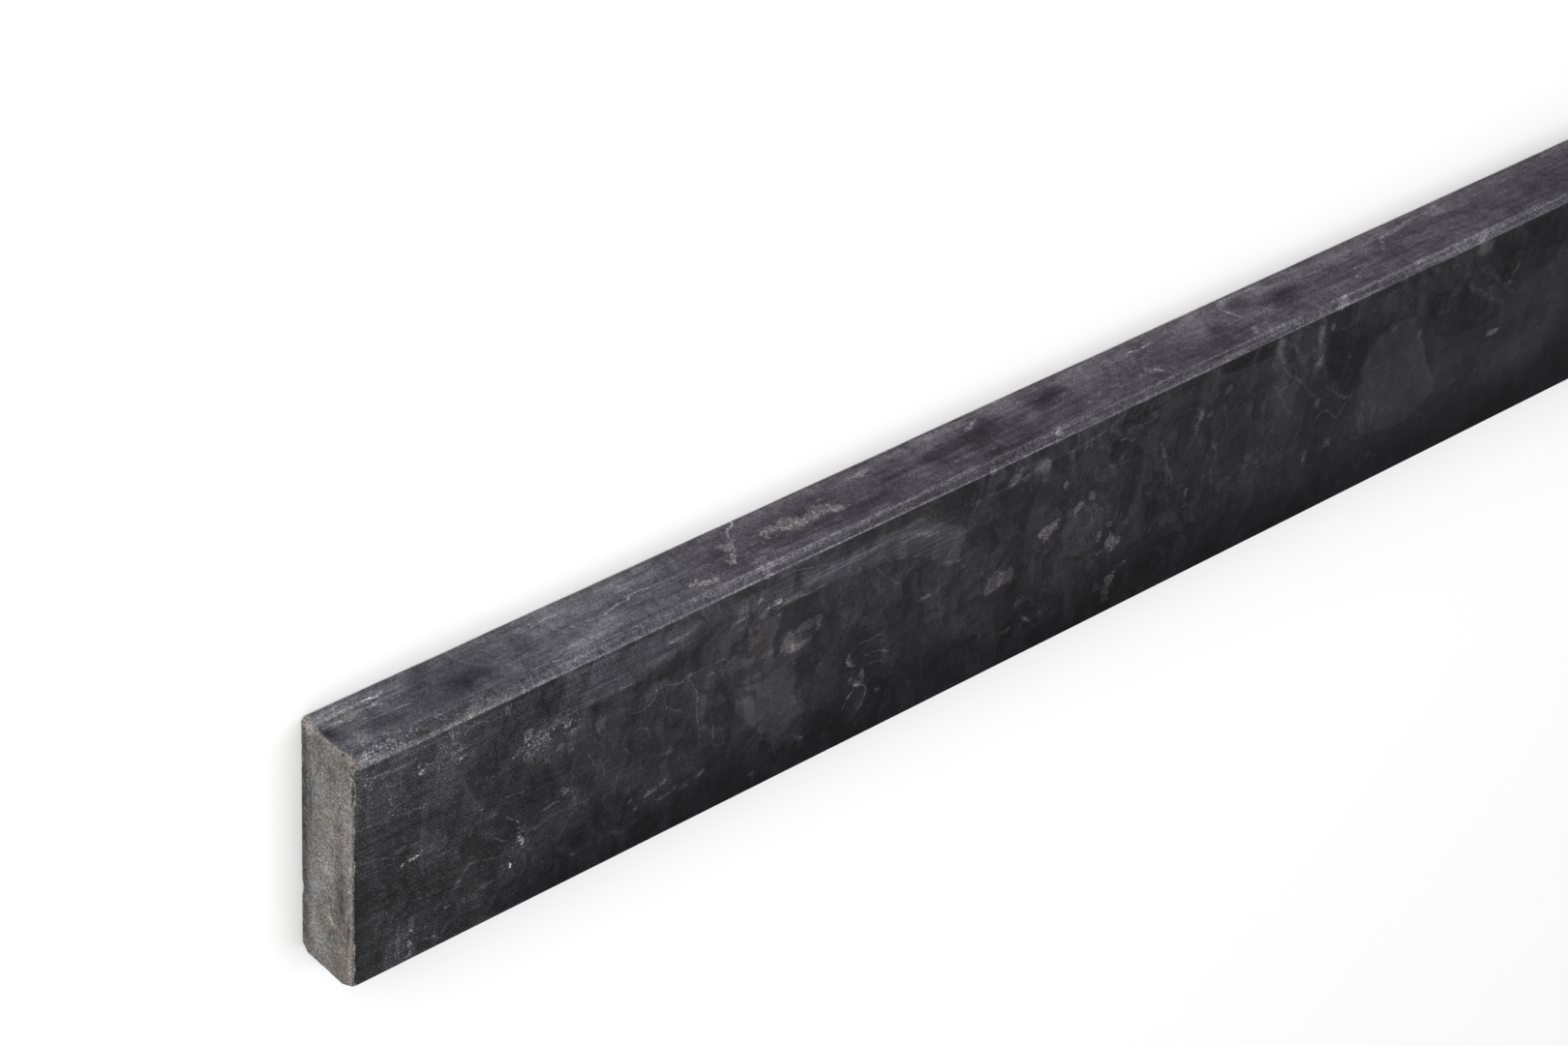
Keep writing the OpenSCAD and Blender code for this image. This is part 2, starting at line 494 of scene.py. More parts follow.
# %% Flat layout, in mm and then as a share of the sheet
GAP, SHEET = 4, 560
ring_places = np.column_stack([ring_y, ring_z])
ring_steps = np.linalg.norm(np.roll(ring_places, -1, 0) - ring_places, axis=1)
round_ring = np.concatenate([[0], np.cumsum(ring_steps)])
half_way = np.argmax(stations <= 0)
sheet_parts = []
for row, part in enumerate((stations[:half_way + 1], stations[half_way:])):
    along = np.repeat((part[0] - part)[:, None], RING + 1, 1)
    up = np.repeat(round_ring[None, :] + row * (round_ring[-1] + GAP), len(part), 0)
    sheet_parts.append(cells(np.stack([along, up], -1)))
for column in range(2):
    along = grid_y + SIDE + column * (WIDTH + GAP)
    up = grid_z + 2 * (round_ring[-1] + GAP)
    sheet_parts.append(cells(np.stack([along, up], -1)))
sheet_parts[3] = sheet_parts[3][:, ::-1]
sheet = (np.concatenate(sheet_parts) + GAP) / SHEET
layout = sill_mesh.uv_layers.new(name="OFBake")
layout.uv.foreach_set("vector", sheet.astype(np.float32).ravel())
print("the layout fills", np.round(sheet.max((0, 1)), 2), "of the sheet")

# %% [markdown]
# ## The map of the stone
#
# Limestone is old mud: soft clouds of darker and paler silt, thin veins where cracks healed, and
# patches of shell and calcite. These lie where they lie, so each is placed one by one on the stone
# unfolded flat. The second number of a place is the distance across: from -46.5 to 46.5 on the
# tread, then over the chamfer, and on down the narrow side, which ends at -76.5. The values are
# kept on the mesh's own points, and the material breaks up their outlines with noise. Noise alone
# would also look like stone, but like no stone in particular.

# %% The stone unfolded, with places that wander a little, so that no outline is a true ellipse
on_top = first_z >= FOOT - 1e-6
unfolded = np.where(on_top, first_y, np.sign(first_y) * (SIDE + FOOT - first_z))
BED_SEAM = -SIDE - FOOT
flat = np.column_stack([first_x, unfolded, np.zeros(len(skin))])
map_x = first_x + 1.6 * rough(flat, 13, 91)
map_across = unfolded + 1.2 * rough(flat, 13, 95)
print("places wander by up to", round(float(np.abs(map_x - first_x).max()), 1), "mm")

# %% Soft and sharp spots
def on_side(features):
    """Features placed by (along, height) on the narrow side, moved to the unfolded stone."""
    return [(x, z + BED_SEAM, *rest) for x, z, *rest in features]


def ellipse(dx, dv, half_length, half_width, turn=0):
    """How far a place (dx, dv) from an ellipse's middle is from it: 1 on its outline.

    The distances along the ellipse's own two axes are each divided by its half size, and then
    joined by Pythagoras. The turn is in degrees.
    """
    c, s = np.cos(np.radians(turn)), np.sin(np.radians(turn))
    return np.hypot((dx * c + dv * s) / half_length, (dv * c - dx * s) / half_width)


def clouds(features, first=map_x, second=map_across):
    """A sum of soft spots: each has its strength in the middle and fades with e to the -1.5 d^2.5."""
    total = np.zeros(len(skin))
    for x, v, half_length, half_width, strength, *turn in features:
        distance = ellipse(first - x, second - v, half_length, half_width, *turn)
        total += strength * np.exp(-1.5 * distance ** 2.5)
    return total


def patches(features):
    """Sharper spots: 1 in the middle, 0 on the outline, below 0 outside; and their strength."""
    inside, strong = np.full(len(skin), -1.0), np.zeros(len(skin))
    for x, v, half_length, half_width, strength, *turn in features:
        deep = 1 - ellipse(map_x - x, map_across - v, half_length, half_width, *turn)
        nearer = deep > inside
        inside[nearer], strong[nearer] = deep[nearer], strength
    return inside, strong


# %% Lines and outlines, as chains of straight bits
# Beyond these distances, in mm, a line or an outline no longer matters.
FAR_OFF = 4.0
DEEP_OUTSIDE = -6.0


def chains_on_side(features):
    """Lines or outlines placed by (along, height) on the narrow side, moved in the same way."""
    return [(a, b, *((x, z + BED_SEAM) for x, z in chain)) for a, b, *chain in features]


def lines(features):
    """For the nearest line: its signed and plain distance and half width, in mm, and its strength.

    The sign tells the two sides apart, so that the distance runs smoothly through zero between two
    points of the mesh and the line stays thin.
    """
    signed, plain = np.full(len(skin), FAR_OFF), np.full(len(skin), FAR_OFF)
    half, strong = np.full(len(skin), 0.5), np.zeros(len(skin))
    for strength, half_width, *chain in features:
        for (x0, v0), (x1, v1) in zip(chain, chain[1:]):
            long = np.hypot(x1 - x0, v1 - v0)
            ax, av = (x1 - x0) / long, (v1 - v0) / long
            dx, dv = map_x - x0, map_across - v0
            t = np.clip(dx * ax + dv * av, 0, long)
            distance = np.hypot(dx - t * ax, dv - t * av)
            nearer = distance < plain
            side = np.where(dx * av - dv * ax >= 0, 1, -1)
            plain[nearer] = distance[nearer]
            signed[nearer] = (side * distance)[nearer]
            half[nearer] = half_width
            strong[nearer] = strength
    return signed, plain, half, strong


def regions(features):
    """For the region that lies deepest or nearest: depth inside it in mm, and its tone and blue.

    The depth is the distance to the closed outline, and it is below 0 outside. A point is inside
    where a line from it crosses the outline an odd number of times.
    """
    depth = np.full(len(skin), DEEP_OUTSIDE)
    region_tone, region_blue = np.zeros(len(skin)), np.zeros(len(skin))
    for tone, blue, *corners in features:
        inside = np.zeros(len(skin), bool)
        distance = np.full(len(skin), np.inf)
        for (x0, v0), (x1, v1) in zip(corners, corners[1:] + corners[:1]):
            dx, dv = map_x - x0, map_across - v0
            long_x, long_v = x1 - x0, v1 - v0
            t = np.clip((dx * long_x + dv * long_v) / (long_x ** 2 + long_v ** 2), 0, 1)
            distance = np.minimum(distance, np.hypot(dx - t * long_x, dv - t * long_v))
            spans = (map_across >= min(v0, v1)) & (map_across < max(v0, v1))
            if v0 != v1:
                inside ^= spans & (dx < dv * long_x / long_v)
        signed = np.where(inside, distance, -distance)
        nearer = signed > depth
        depth[nearer] = signed[nearer]
        region_tone[nearer], region_blue[nearer] = tone, blue
    return depth, region_tone, region_blue


# %% [markdown]
# ### Regions
#
# Some beds of silt have a plain border where one layer was ground away. A soft spot can't show
# that, so a region has an outline. Each row is a strength in stops, a share of blue and the corners.

# %% Regions of the tread
tread_regions = [
    (-0.40, 0.2, (441, -47), (440, -40), (441, -33), (436, -30), (424, -28), (416, -30), (414, -47)),
    (0.25, 0.8, (413, -46), (413, -30), (400, -28), (385, -27), (370, -32), (356, -34), (355, -43),
     (385, -45)),
    (-0.30, 0.1, (402, -27), (396, -21), (385, -19), (375, -23), (366, -22), (351, -20), (351, -32),
     (371, -31), (386, -26)),
    (-0.10, 0.0, (369, -8), (361, -9), (357, -2), (356, 8), (361, 12), (367, 8), (370, 0)),
    (-0.30, 0.2, (401, 19), (391, 17), (383, 19), (381, 27), (385, 33), (395, 33), (400, 27)),
    (0.42, 0.6, (338, -4), (334, 8), (330, 16), (325, 21), (316, 31), (309, 25), (303, 22), (308, 12),
     (309, -6), (322, -2)),
    (0.40, 0.4, (350, -44), (300, -42), (262, -41), (252, -42), (245, -37), (236, -32), (229, -27),
     (229, -13), (234, -13), (241, -18), (250, -24), (262, -28), (280, -29), (296, -32), (320, -30)),
    (0.05, 0.9, (228, -12), (228, 0), (222, 3), (217, -1), (213, -3), (216, -12), (224, -16)),
    (0.00, 0.8, (283, -24), (272, -27), (265, -20), (259, -15), (257, -9), (262, -8), (270, -6),
     (281, -8)),
    (0.05, 0.8, (257, -9), (240, -4), (236, 10), (239, 14), (243, 2), (250, -5)),
    (-0.25, 0.1, (246, -47), (238, -39), (226, -36), (210, -38), (205, -47)),
    (0.22, 1.0, (176, -12), (171, -8), (163, -10), (158, -5), (152, -5), (152, 1), (155, 4), (159, 7),
     (161, 12), (168, 13), (176, 10), (178, 0)),
    (0.12, 0.8, (194, -30), (186, -33), (177, -30), (177, -14), (183, -12), (192, -10), (199, -12)),
    (-0.5, 0.1, (102, -47), (99, -42.5), (92, -41), (84, -42), (81, -47)),
    (-0.30, 0.3, (79, -47), (78, -40.5), (74, -40), (71, -42), (70, -47)),
    (-0.50, 0.3, (156, -42), (153, -39.5), (145, -38.7), (135, -39.5), (134, -42.5), (145, -42.5)),
    (-0.35, 0.0, (158, -31), (155, -36), (149, -36), (147, -30), (150, -25), (155, -25)),
    (-0.30, 0.1, (146, -21), (142, -20), (141, -10), (143, 2), (147, 0), (148, -10)),
    (-0.25, 0.0, (137, -12), (134, -13), (126, -8), (124, 3), (123, 12), (132, 12), (136, 4)),
    (0.15, 0.9, (71, -20), (70, 0), (62, 8), (56, 2), (52, -5), (54, -20), (62, -27), (66, -30)),
    (-0.45, 0.0, (41, -36), (30, -38), (14, -37), (4, -33), (3, -28), (14, -24), (18, -16), (18, -8),
     (22, -2), (30, -8), (38, -16), (41, -24)),
    (0.38, 0.1, (12, -23), (4, -27), (-10, -26), (-15, -16), (-19, -4), (-25, 6), (-30, 12), (-27, 17),
     (-18, 22), (-8, 25), (2, 24), (12, 21), (17, 14), (18, -4), (17, -14)),
    (-0.30, 0.4, (-16, -29), (-22, -32), (-30, -30), (-31, -24), (-24, -20), (-20, -19), (-18, -24)),
    (-0.35, 0.0, (-21, -18), (-32, -26), (-38, -31), (-45, -22), (-55, -14), (-62, -10), (-60, -5),
     (-45, -5), (-30, -8), (-24, -12)),
    (0.30, 0.0, (-37, -47), (-40, -42), (-45, -40), (-50, -43), (-51, -47)),
    (-0.30, 0.1, (-52, -46), (-49, -38), (-56, -28), (-62, -22), (-75, -17), (-88, -19), (-96, -30),
     (-94, -47)),
    (-0.15, 0.9, (41, 4), (37, 1), (32, 1.5), (28, 6), (25, 9), (30, 11), (37, 10)),
    (0.12, 0.9, (-52, 4), (-66, 6), (-80, 14), (-88, 24), (-84, 34), (-66, 32), (-56, 18)),
]

# %% Regions of the narrow side: heights in place of distances across
side_regions = chains_on_side([
    (-0.40, 0.4, (318, 17), (312, 16), (300, 19), (285, 18), (262, 18.5), (256, 20), (270, 23),
     (300, 24), (315, 22)),
    (-0.40, 0.4, (262, 15), (240, 12), (222, 10), (207, 8), (200, 7), (200, 16), (215, 20),
     (222, 16), (240, 15), (255, 17)),
    (-0.60, 0.2, (179, 9), (172, 7), (163, 7.5), (161, 10), (164, 12), (172, 12.5), (178, 11)),
    (-0.40, 0.3, (75, 6), (72, 4.5), (66, 5), (62, 8), (68, 10), (75, 9)),
    (-0.25, 0.3, (66, 10), (54, 8), (42, 9), (38, 14), (46, 19), (60, 17)),
])

# %% [markdown]
# ### Clouds
#
# Each row is a place, a half length, a half width, a strength and, where the spot is turned, a turn
# in degrees. Rows run from the worn end on, and where spots overlap, their strengths add up.
# Strengths of light and dark are in stops, so 1 doubles the light that the stone gives back.

# %% Light and dark clouds of the tread
tread_clouds = [
    (491, 18, 7, 12, 0.4), (490, -3, 10, 6, 0.2), (485, 4, 12, 16, 0.25), (484, 30, 14, 10, 0.35),
    (480, 12, 12, 6, -0.3), (480, 38, 14, 5, 0.35), (470, -38, 24, 10, 0.3),
    (470, -38, 12, 11, -0.5), (470, -30, 6, 6, -0.3), (470, 2, 7, 14, 0.25, 20),
    (468, -36, 12, 6, -0.3), (466, 42, 6, 3, 0.6, 30), (461, -43, 4, 3, -0.5),
    (455, -30, 16, 10, 0.25), (455, -10, 18, 10, -0.15, 20), (451, -18, 12, 9, -0.35),
    (450, -24, 14, 9, -0.25), (445, -38, 12, 8, -0.2), (442, -27, 16, 6, -0.3),
    (442, -22, 14, 7, -0.25), (430, -38, 17, 9, -0.2), (430, 10, 10, 8, 0.25),
    (430, 24, 16, 14, 0.4), (428, -21, 14, 6, 0.3, 15), (425, -26, 8, 5, -0.3),
    (423, -22, 8, 5, -0.4), (420, 14, 14, 12, 0.25), (420, 42, 40, 6, -0.4),
    (413, -17, 10, 6, 0.35, 20), (408, 14, 24, 12, 0.4), (404, 26, 10, 6, -0.1),
    (392, -5, 18, 10, 0.12), (388, 22, 7, 6, 0.35), (385, -25, 18, 4, -0.1), (384, 22, 14, 8, -0.3),
    (383, -38, 28, 8, 0.1), (372, -33, 14, 2, 0.3), (372, -5, 10, 9, 0.4), (370, 30, 8, 5, 0.35),
    (366, 28, 12, 12, 0.3), (365, -39, 9, 2.5, 0.35), (362, 20, 6, 16, 0.25),
    (350, -39, 6, 6, -0.3), (350, 0, 3, 18, 0.3, -3), (350, 4, 8, 14, 0.2), (350, 26, 9, 9, 0.3),
    (350, 30, 10, 6, 0.2), (338, 4, 5, 14, -0.2, 10), (336, 33, 16, 6, -0.2),
    (335, 14, 14, 14, 0.25), (332, -38, 22, 5, -0.1), (330, -26, 7, 4, -0.35),
    (329, -19, 12, 8, 0.25), (327, -8, 15, 9, 0.6), (325, 8, 14, 18, 0.25), (320, -10, 16, 7, 0.3),
    (318, -38, 12, 7, -0.35), (316, 2, 6, 10, 0.35), (313, 8, 5, 16, 0.1), (312, -43, 14, 4, -0.5),
    (311, -16, 6, 8, 0.35), (310, -10, 6, 6, 0.3), (310, 30, 8, 6, 0.2), (308, -10, 8, 7, 0.5),
    (300, 0, 12, 18, -0.25), (290, -38, 22, 3, 0.6, 4), (290, -25, 20, 5, -0.3),
    (290, -20, 9, 4, -0.3), (290, 20, 8, 14, -0.3), (288, -16, 12, 5, -0.35), (275, 34, 8, 9, 0.4),
    (270, 30, 8, 5, 0.3), (270, 35, 8, 9, 0.3), (262, -37, 16, 4.0, 0.45, -8),
    (262, -15, 6, 14, 0.2, 25), (252, 28, 26, 10, -0.35), (250, -27, 18, 9, 0.25, -10),
    (246, 0, 8, 14, 0.12), (244, -31, 12, 5, 0.35, -30), (240, -10, 12, 6, 0.2),
    (234, -19, 4, 12, 0.35), (230, -27, 9, 6, 0.45), (225, 34, 12, 6, 0.2),
    (214, -20, 14, 16, -0.2), (210, -24, 10, 7, 0.3), (208, -39, 8, 5, 0.4), (202, 14, 6, 5, -0.1),
    (201, 15, 6, 5, -0.35), (200, 8, 6, 6, -0.3), (193, -36, 9, 8, 0.4), (192, -38, 6, 6, 0.4),
    (190, -42, 8, 5, 0.3), (190, -38, 8, 6, 0.25), (190, -36, 7, 7, 0.3), (188, -18, 12, 12, 0.2),
    (184, -36, 3.5, 4, -0.6), (176, -36, 3, 3, -0.4), (176, 22, 14, 8, -0.15),
    (172, 32, 10, 9, 0.35), (170, 5, 9, 6, -0.25), (168, 0, 14, 12, 0.15),
    (155, -31, 5, 4.5, -0.15), (145, -40, 11, 2, -0.2), (143, -10, 3, 10, -0.1),
    (132, 8, 5, 8, -0.3), (130, -40, 8, 7, 0.3), (130, -24, 10, 9, 0.3), (130, 10, 8, 6, -0.2),
    (118, 20, 14, 16, -0.35), (90, -30, 8, 8, 0.3), (88, -42, 11, 4, -0.2), (84, -20, 4, 6, 0.2),
    (84, -8, 12, 16, 0.1), (78, -42, 8, 3, -0.1), (78, -35, 14, 6, 0.5), (70, -10, 5, 4, -0.5),
    (70, 14, 5, 4, -0.5), (62, -36, 2.5, 6, -0.7, -15), (62, -12, 10, 14, 0.3, 20),
    (58, -34, 14, 12, 0.35), (54, -40, 4, 4, -0.3), (50, -42, 10, 6, 0.3), (50, -40, 8, 8, 0.25),
    (50, -28, 10, 14, 0.35), (50, 28, 10, 10, 0.3), (48, 24, 10, 14, 0.4), (44.5, -31, 4, 11, 0.35),
    (38, 8, 8, 5, 0.15, -20), (33, -43, 14, 3, -0.3), (30, -25, 10, 14, -0.1),
    (30, 24, 18, 9, 0.35), (30, 30, 26, 6, 0.25), (20, 25, 14, 10, -0.2), (12, -5, 5, 18, 0.15, 5),
    (8, 14, 16, 14, 0.2), (0, 0, 22, 26, 0.12), (-5, -30, 16, 8, 0.3), (-10, -26, 8, 6, 0.3),
    (-14, 32, 24, 10, 0.35), (-20, -15, 3, 8, 0.2, -10), (-20, 38, 26, 8, -0.3),
    (-26, -25, 5, 4, -0.2), (-28, 10, 14, 16, 0.4), (-30, 16, 14, 14, 0.3), (-45, -44, 6, 4, 0.4),
    (-45, -10, 18, 5, -0.2, 30), (-45, 5, 14, 6, 0.35), (-50, 38, 34, 6, 0.25),
    (-72, -30, 16, 14, -0.15), (-72, -8, 22, 6, 0.2, 30), (-75, 18, 22, 14, 0.4),
    (-105, -8, 22, 16, 0.25),
]

# %% Blue-grey clouds: share of blue
blue_clouds = [
    (495, -7, 6, 5, 0.7), (484, 38, 8, 8, 0.4), (470, 5, 6, 12, 0.5, 20), (466, 42, 6, 4, 0.9, 20),
    (430, -20, 12, 6, 0.5), (415, 26, 14, 6, 0.9, -20), (400, 30, 40, 10, 0.5),
    (398, 8, 8, 6, 0.7, 30), (392, -8, 10, 7, 0.7, 30), (383, -38, 26, 9, 0.7),
    (382, 8, 5, 12, 0.7), (380, 42, 50, 6, 0.4), (374, -17, 4, 4, 0.7), (361, 24, 7, 8, 0.6),
    (350, 0, 3.5, 18, 0.9, -3), (343, -28, 6, 6, 0.6), (338, -38, 18, 6, 0.8),
    (336, 33, 18, 7, 0.9), (318, 8, 9, 18, 0.9), (308, 25, 7, 10, 0.7), (300, -32, 34, 12, 0.3),
    (285, -36, 24, 4, 0.6), (270, 40, 5, 5, 0.7), (268, -16, 12, 10, 0.8),
    (255, -35, 12, 4, 0.6, -20), (246, -6, 8, 5, 0.7), (240, 4, 3, 10, 0.7),
    (238, -22, 10, 10, 0.5), (232, 16, 5, 6, 0.5), (228, -2, 6, 6, 0.7), (200, -32, 34, 12, 0.65),
    (200, 30, 34, 14, 0.35), (200, 42, 60, 6, 0.5), (187, -18, 12, 12, 0.8), (177, 20, 7, 8, 0.7),
    (168, -32, 12, 8, 0.5), (168, 0, 14, 12, 1.0), (130, -25, 8, 8, 0.8), (126, -12, 4, 6, 0.8),
    (112, 6, 5, 6, 0.5), (105, -38, 14, 5, 0.7), (100, -30, 34, 14, 0.7), (100, -24, 9, 6, 0.6),
    (100, 34, 30, 10, 0.7), (96, 16, 16, 7, 0.8), (70, 30, 34, 14, 0.9), (68, -28, 8, 8, 0.8),
    (60, -12, 10, 12, 0.8, 20), (60, 10, 12, 14, 0.8), (52, 30, 16, 14, 0.8), (45, -38, 4, 7, 0.8),
    (40, -14, 20, 12, 0.2), (36, 8, 7, 4, 0.8, -20), (32, -43, 16, 3, 0.8), (30, 20, 12, 12, 0.9),
    (10, 11, 7, 5, 0.6), (8, 34, 26, 8, 0.8), (0, 34, 34, 12, 0.6), (0, 34, 40, 12, 0.9),
    (-10, -38, 26, 6, 0.8), (-22, -28, 6, 5, 0.7), (-50, 28, 26, 10, 0.9), (-75, 18, 24, 14, 0.9),
    (-100, 38, 26, 10, 0.8),
]

# %% Brown clouds: share of brown
brown_clouds = [
    (495, 25, 6, 5, 0.6), (494, -18, 8, 3, 0.5), (484, 18, 5, 4, 0.6), (480, -33, 5, 6, 0.9, 30),
    (452, 10, 6, 7, 0.7), (450, 31, 8, 3, 0.6), (446, -3, 6, 4, 0.8), (437, 8, 6, 5, 0.7),
    (364, 9, 3.5, 2.5, 0.9), (326, -18, 13, 10, 0.9), (312, -12, 6, 5, 0.5), (306, -13, 8, 6, 0.4),
    (262, -33, 10, 3, 0.6), (250, 14, 14, 8, 0.3), (238, -15, 5, 5, 0.6), (216, -14, 10, 12, 0.35),
    (202, 14, 6, 6, 0.9), (201, 15, 6, 5, 0.6), (181, 3, 4, 3, 0.7), (124, -8, 3, 6, 0.8),
    (112, -22, 3, 8, 0.7), (105, -5, 12, 8, 0.25), (28, 3, 5, 4, 0.8), (12, -19, 8, 6, 0.6, 20),
    (-22, -6, 7, 7, 0.6), (-24, -18, 3, 4, 0.5), (-68, -27, 8, 6, 0.9),
]
brown_clouds += on_side([(325, 11.5, 4, 3, 0.4), (296, 14.5, 17, 3.5, 0.45)])

# %% Clouds of the narrow side
side_clouds = on_side([
    (497, 12, 2.5, 3, -0.5), (493, 4, 10, 8, 0.7), (492, 18, 6, 6, 0.4), (492, 19, 7, 6, 0.5),
    (490, 5, 14, 6, 0.5), (489, 11, 9, 5, 0.7), (486, 24, 12, 3, 0.2), (485, 12, 4, 5, 0.6),
    (480, 24, 22, 4, 0.35), (478, 16.5, 12, 2.5, -0.4), (474, 8, 10, 6, 0.35),
    (463, 10, 7, 6, -0.5), (450, 17, 8, 5, -0.35), (450, 19, 16, 7, -0.45),
    (450, 25.6, 26, 1.2, -0.45), (450, 28, 9, 2, 0.5), (447, 14, 20, 10, -0.35),
    (446, 21, 5, 4, -0.4), (445, 16, 5, 3, -0.3), (444, 16, 8, 4.5, -0.35), (436, 15, 5, 5, -0.7),
    (424, 13, 4, 8, 0.45), (420, 4, 26, 3, -0.15), (410, 27, 8, 1.5, 0.5), (409, 23, 9, 4, 0.45),
    (408, 14.2, 30, 1.2, -0.3), (405, 27, 6, 1.5, 0.5), (400, 8, 22, 5, 0.2),
    (400, 10, 17, 12, 0.35), (396, 21, 24, 4, 0.3), (392, 22.5, 26, 4, 0.45), (392, 25, 18, 3, 0.5),
    (388, 14, 24, 14, 0.45), (384, 25.5, 16, 1.6, -0.2), (375, 6, 12, 6, 0.3),
    (375, 20.5, 14, 1.5, -0.35), (372, 4, 16, 6, 0.4), (372, 26, 16, 1.0, -0.45),
    (370, 8, 9, 5, 0.4), (370, 15, 20, 10, 0.35), (370, 25, 10, 2, 0.5), (356, 8, 4, 4, 0.5),
    (350, 18, 7, 3, -0.45), (350, 29, 8, 1.0, -0.5), (345, 2, 5, 2.5, -0.6), (345, 24, 4, 3, -0.3),
    (343, 5, 12, 5, -0.1), (335, 14, 10, 3, -0.25), (328, 18, 14, 3, -0.4), (318, 16, 6, 4, -0.25),
    (312, 18, 12, 6, -0.4), (304, 10, 14, 10, -0.35), (300, 19.5, 12, 1.6, -0.2, 6),
    (300, 24, 24, 1.5, 0.1), (298, 8.5, 8, 3, -0.15), (290, 9, 9, 6, -0.3), (290, 14, 8, 3, -0.4),
    (270, 4, 26, 3, 0.25), (270, 19.5, 18, 2.0, -0.25, 2), (270, 25, 7, 1.6, 0.5),
    (262, 8, 6, 5, 0.25), (250, 29, 8, 1.0, -0.4), (236, 13.5, 18, 3, -0.15, 3),
    (230, 18, 7, 6, -0.3), (225, 3, 20, 4, 0.35), (224, 12, 24, 2.2, -0.4, 5),
    (218, 19, 24, 7, -0.4), (215, 16, 8, 3, -0.15, 30), (210, 18, 7, 2.5, 0.4),
    (210, 24, 8, 3, -0.3), (210, 25, 12, 3, -0.35), (208, 24, 16, 2.0, -0.35),
    (207, 11, 14, 5, -0.25, 5), (205, 10.5, 9, 3.4, -0.35), (200, 25, 14, 1.6, -0.4),
    (190, 4, 14, 8, 0.45), (190, 29, 8, 1.0, -0.4), (186, 14, 8, 7, 0.2, 60),
    (175, 7, 12, 4, -0.25), (170, 10, 10, 3.6, -0.3, -4), (170, 14, 8, 7, -0.3),
    (170, 24, 8, 2, -0.35), (169.5, 9.6, 8.5, 2.8, -0.5, -4), (168, 21, 16, 5, -0.3),
    (150, 5, 18, 6, 0.3), (142, 8, 22, 6, 0.2), (130, 2, 8, 3, -0.45), (130, 22, 7, 3, 0.3),
    (130, 29, 8, 1.0, -0.4), (108, 5, 16, 6, 0.4), (100, 20, 30, 5, -0.3), (98, 23, 20, 5, -0.55),
    (92, 7, 8, 6, 0.3), (90, 14, 7, 3, -0.4), (90, 17, 8, 5, -0.35), (90, 25, 7, 1.6, -0.5),
    (90, 25, 6, 1.6, -0.35), (82, 7, 4, 3, -0.4), (72, 7.5, 2.5, 3.2, -0.2), (72, 25, 8, 3, 0.4),
    (70, 3, 20, 4, 0.25), (70, 14, 8, 5, 0.25), (70, 24, 7, 3, 0.3), (70, 25, 8, 2, 0.5),
    (68, 18, 10, 5, 0.25, 20), (50, 10, 6, 3, -0.4), (50, 11, 11, 4, -0.4), (50, 12, 9, 5, -0.45),
    (50, 15, 12, 6, -0.4), (50, 20, 7, 4, -0.25), (30, 25, 8, 2, 0.5), (20, 5, 26, 4, 0.3),
    (10, 6, 6, 2.5, -0.4), (10, 12, 30, 4, -0.1), (0, 29, 18, 1.0, -0.7), (-8, 3, 16, 5, 0.45),
    (-10, 20, 34, 3, -0.1), (-10, 22, 8, 4, 0.3), (-10, 25, 9, 2, 0.4), (-45, 6, 20, 4, 0.45),
    (-45, 8, 14, 4, 0.3), (-52, 12, 14, 3, -0.3), (-65, 6, 26, 5, 0.15), (-70, 4, 7, 4, -0.4),
    (-70, 29, 8, 1.0, -0.5), (-90, 19, 16, 5, -0.3, -30),
])

# %% Speckled stretches: how thick the pale flecks lie
fleck_clouds = [
    (494, -38, 9, 9, 0.6), (482, -19, 14, 4, 0.5), (480, 1, 14, 2, 0.7), (480, 20, 18, 20, 0.25),
    (478, 37, 3, 9, 0.7), (472, -35, 4, 5, 0.5), (463, -34, 11, 6, 0.6), (455, -43, 26, 2, 0.7),
    (452, 31, 14, 2, 0.8), (435, 26, 5, 3, 0.8, -20), (430, 14, 3, 12, 1.0, 10),
    (425, -22, 13, 7, 1.0, 10), (415, 5, 14, 8, 0.3), (411, -25, 9, 5, 0.9, 15),
    (372, -17, 10, 6, 0.5), (372, 26, 14, 4, 0.7, 20), (322, -34, 12, 6, 0.5),
    (308, -13, 12, 7, 0.6), (276, 18, 7, 14, 0.6), (208, 6, 8, 5, 0.5), (184, -7, 7, 6, 0.6),
    (151, 13, 6, 8, 0.6), (149, 33, 6, 8, 0.6), (108, -26, 6, 8, 0.4),
]
fleck_clouds += on_side([
    (492, 22, 12, 5, 0.9), (484, 6, 14, 5, 0.7), (476, 27, 26, 4, 0.9), (390, 15, 20, 1.5, 0.7),
    (330, 20, 12, 7, 0.5), (300, 15, 24, 5, 0.7),
])

# %% Streaked stretches, where lengthwise scratches show
streaked_clouds = [
    (490, -8, 16, 14, 0.6), (478, 37, 26, 9, 0.4), (470, -42, 30, 4, 0.6), (470, 12, 20, 10, 0.3),
    (385, -38, 32, 8, 1.0), (285, -37, 45, 7, 1.0), (245, -29, 20, 10, 0.8, -20),
    (140, -40, 30, 4, 0.6),
]
streaked_clouds += on_side([(484, 8, 16, 6, 1.0)])

# %% Even stretches, without the borders of old beds
even_clouds = [
    (385, -36, 26, 7, 0.4), (314, 8, 11, 20, 0.9), (286, 14, 12, 20, 0.6), (280, -20, 20, 8, 0.6),
    (262, -34, 34, 9, 1.0), (242, 26, 20, 14, 0.9), (236, -24, 12, 10, 1.0, -20),
    (222, -10, 8, 16, 0.7), (84, 2, 12, 26, 0.5), (27, -28, 12, 12, 0.6),
]
print(len(fleck_clouds + streaked_clouds + even_clouds), "stretches of their own kind")

